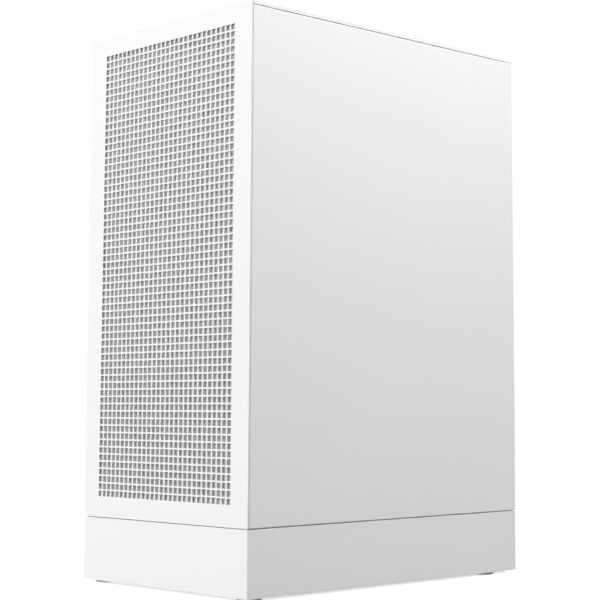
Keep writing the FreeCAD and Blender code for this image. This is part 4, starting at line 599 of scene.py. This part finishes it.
def board_chip_parts(board, materials):
    """Rows of tiny resistors and capacitors with tinned ends."""
    bm = bmesh.new()
    body = round_outline(0.5 * MM, 0.4 * MM, 0.08 * MM, 1)
    end = round_outline(0.2 * MM, 0.42 * MM, 0.06 * MM, 1)
    for _ in range(TINY_ROWS):
        y = board.draw.uniform(BOARD_Y0, BOARD_Y1)
        z = board.draw.uniform(BOARD_Z0, BOARD_Z1)
        kind = board.draw.choice((0, 0, 2))
        for i in range(board.draw.randint(2, 5)):
            at = z + TINY_PITCH * i
            if not board.take(y, at, TINY_HALF_Y, TINY_HALF_Z, TINY_HEIGHT):
                continue
            middle = [(1.0, 0.0, kind), (1.0, 0.45 * MM, kind), (0.9, 0.5 * MM, kind)]
            loft(bm, (y, at), body, middle)
            for side in (-1, 1):
                tip = [(1.0, 0.0, 1), (1.0, 0.5 * MM, 1), (0.85, 0.55 * MM, 1)]
                loft(bm, (y + side * TINY_END, at), end, tip)
    add_piece("board_chip_parts", bm, materials)


def add_board_parts():
    """Small electronic parts on the free places of the board."""
    can = metal("can_aluminium", (0.72, 0.72, 0.70), 0.28, (1, 1, 3), 0.004)
    base = moulded("can_base", (0.03, 0.03, 0.032), 0.5)
    vent = moulded("can_vent", (0.20, 0.20, 0.21), 0.4)
    ferrite = moulded("ferrite_grey", (0.11, 0.11, 0.115), 0.62, 2.0)
    chip = moulded("chip_epoxy", (0.022, 0.022, 0.024), 0.45, 0.7)
    tin = metal("tinned_leg", (0.70, 0.70, 0.68), 0.32, (2, 2, 2), 0.003)
    ceramic = moulded("ceramic_tan", (0.34, 0.24, 0.15), 0.5)
    board = Board()
    board_chokes(board, [ferrite])
    board_capacitors(board, [can, base, vent])
    board_chips(board, [chip, tin])
    board_chip_parts(board, [chip, tin, ceramic])


# ---- Grommets and cable ties -------------------------------------------------------------
# Middles of the holes in the shroud's top that the main cable and the card's cable rise through.
WIRE_HOLES = ((19.0 * MM, -85.0 * MM), (-76.5 * MM, -47.0 * MM))
WIRE_HOLE_HALF = (6.0 * MM, 10.0 * MM)
WIRE_HOLE_CORNER = 4.0 * MM
SHEET = 1.0 * MM             # the shroud's steel
LIP = 1.0 * MM               # how far a grommet laps over the sheet
WALL = 1.3 * MM              # a grommet's thickness inside its hole
TIE_HEIGHTS = (172.0 * MM, 192.0 * MM, 212.0 * MM)
MAIN_CABLE_RADIUS = 3.5 * MM
MAIN_CABLE_X = (8.0 * MM, 28.0 * MM)    # where the main cable rises from the shroud
MAIN_CABLE_Y = -74.0 * MM
CABLE_REACH = 14.0 * MM      # how far above and below a tie its cable is measured


def band(bm, centre, half, corner, section):
    """A closed ring round an upright axis: each section point is (outward, up) from the outline."""
    x, y, z = centre
    rings = []
    for outward, up in section:
        rounding = max(corner + outward, 0.2 * MM)
        outline = round_outline(half[0] + outward, half[1] + outward, rounding, 6)
        rings.append([bm.verts.new((x + u, y + v, z + up)) for u, v in outline])
    for ring, after in zip(rings, rings[1:] + rings[:1]):
        for i in range(len(ring)):
            j = (i + 1) % len(ring)
            bm.faces.new((ring[i], ring[j], after[j], after[i]))


def add_grommets(material):
    """Rubber grommets that line the cables' holes, clipped over the sheet's edge."""
    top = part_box("psu_shroud")[1][2]
    section = [(-WALL, -SHEET - 0.6 * MM), (-WALL + 0.3 * MM, -SHEET - 0.9 * MM),
               (LIP, -SHEET - 0.8 * MM), (LIP, -SHEET - 0.05 * MM),
               (0.0, -SHEET - 0.05 * MM), (0.0, 0.05 * MM),
               (LIP, 0.05 * MM), (LIP - 0.1 * MM, 0.7 * MM),
               (-WALL + 0.4 * MM, 0.9 * MM), (-WALL, 0.5 * MM)]
    bm = bmesh.new()
    for x, y in WIRE_HOLES:
        band(bm, (x, y, top), WIRE_HOLE_HALF, WIRE_HOLE_CORNER, section)
    add_piece("shroud_grommets", bm, [material])


def cable_middle(height):
    """The middle of the main cable at a height, from its own surface."""
    near = [v.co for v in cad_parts["internal_cables"].data.vertices
            if abs(v.co.z - height) < CABLE_REACH and v.co.y < MAIN_CABLE_Y
            and MAIN_CABLE_X[0] < v.co.x < MAIN_CABLE_X[1]]
    low = [min(c[i] for c in near) for i in range(2)]
    high = [max(c[i] for c in near) for i in range(2)]
    return (low[0] + high[0]) / 2, (low[1] + high[1]) / 2


def add_cable_ties(material):
    """Nylon ties pulled round the main cable, each with its square head."""
    bm = bmesh.new()
    half = MAIN_CABLE_RADIUS + 0.35 * MM
    section = [(0.0, 0.0), (1.0 * MM, 0.15 * MM), (1.1 * MM, 1.3 * MM), (1.0 * MM, 2.45 * MM),
               (0.0, 2.6 * MM)]
    head = [(-0.6 * MM, -0.6 * MM), (0.0, -0.7 * MM), (0.0, 3.3 * MM), (-0.6 * MM, 3.2 * MM)]
    for height in TIE_HEIGHTS:
        x, y = cable_middle(height)
        band(bm, (x, y, height), (half, half), half, section)
        at = (x - half - 2.1 * MM, y, height)
        band(bm, at, (1.6 * MM, 1.9 * MM), 0.5 * MM, head)
    add_piece("cable_ties", bm, [material])


# ---- Floor -------------------------------------------------------------------------------
def add_floor():
    """A plain pale floor that glows a little, seen by the camera and in reflections only."""
    s = Surface("floor_white", 0.9, Emission_Color=(1, 1, 1, 1), Emission_Strength=FLOOR_GLOW)
    s.colour(s.ramp(s.noise(3.0, 3.0), (0.3, FLOOR_TONES[0]), (0.7, FLOOR_TONES[1])))
    mesh = bpy.data.meshes.new("floor")
    half = FLOOR_SIZE / 2
    corners = [(-half, -half, 0), (half, -half, 0), (half, half, 0), (-half, half, 0)]
    mesh.from_pydata(corners, [], [(0, 1, 2, 3)])
    mesh.materials.append(s.material)
    floor = bpy.data.objects.new("floor", mesh)
    bpy.context.scene.collection.objects.link(floor)
    floor.visible_diffuse = False


rubber_look, plastic_look = build_materials()
add_board_parts()
add_grommets(rubber_look)
add_cable_ties(plastic_look)
add_floor()
add_sky()
add_lights()
add_camera()
bpy.context.scene.view_settings.view_transform = "Standard"
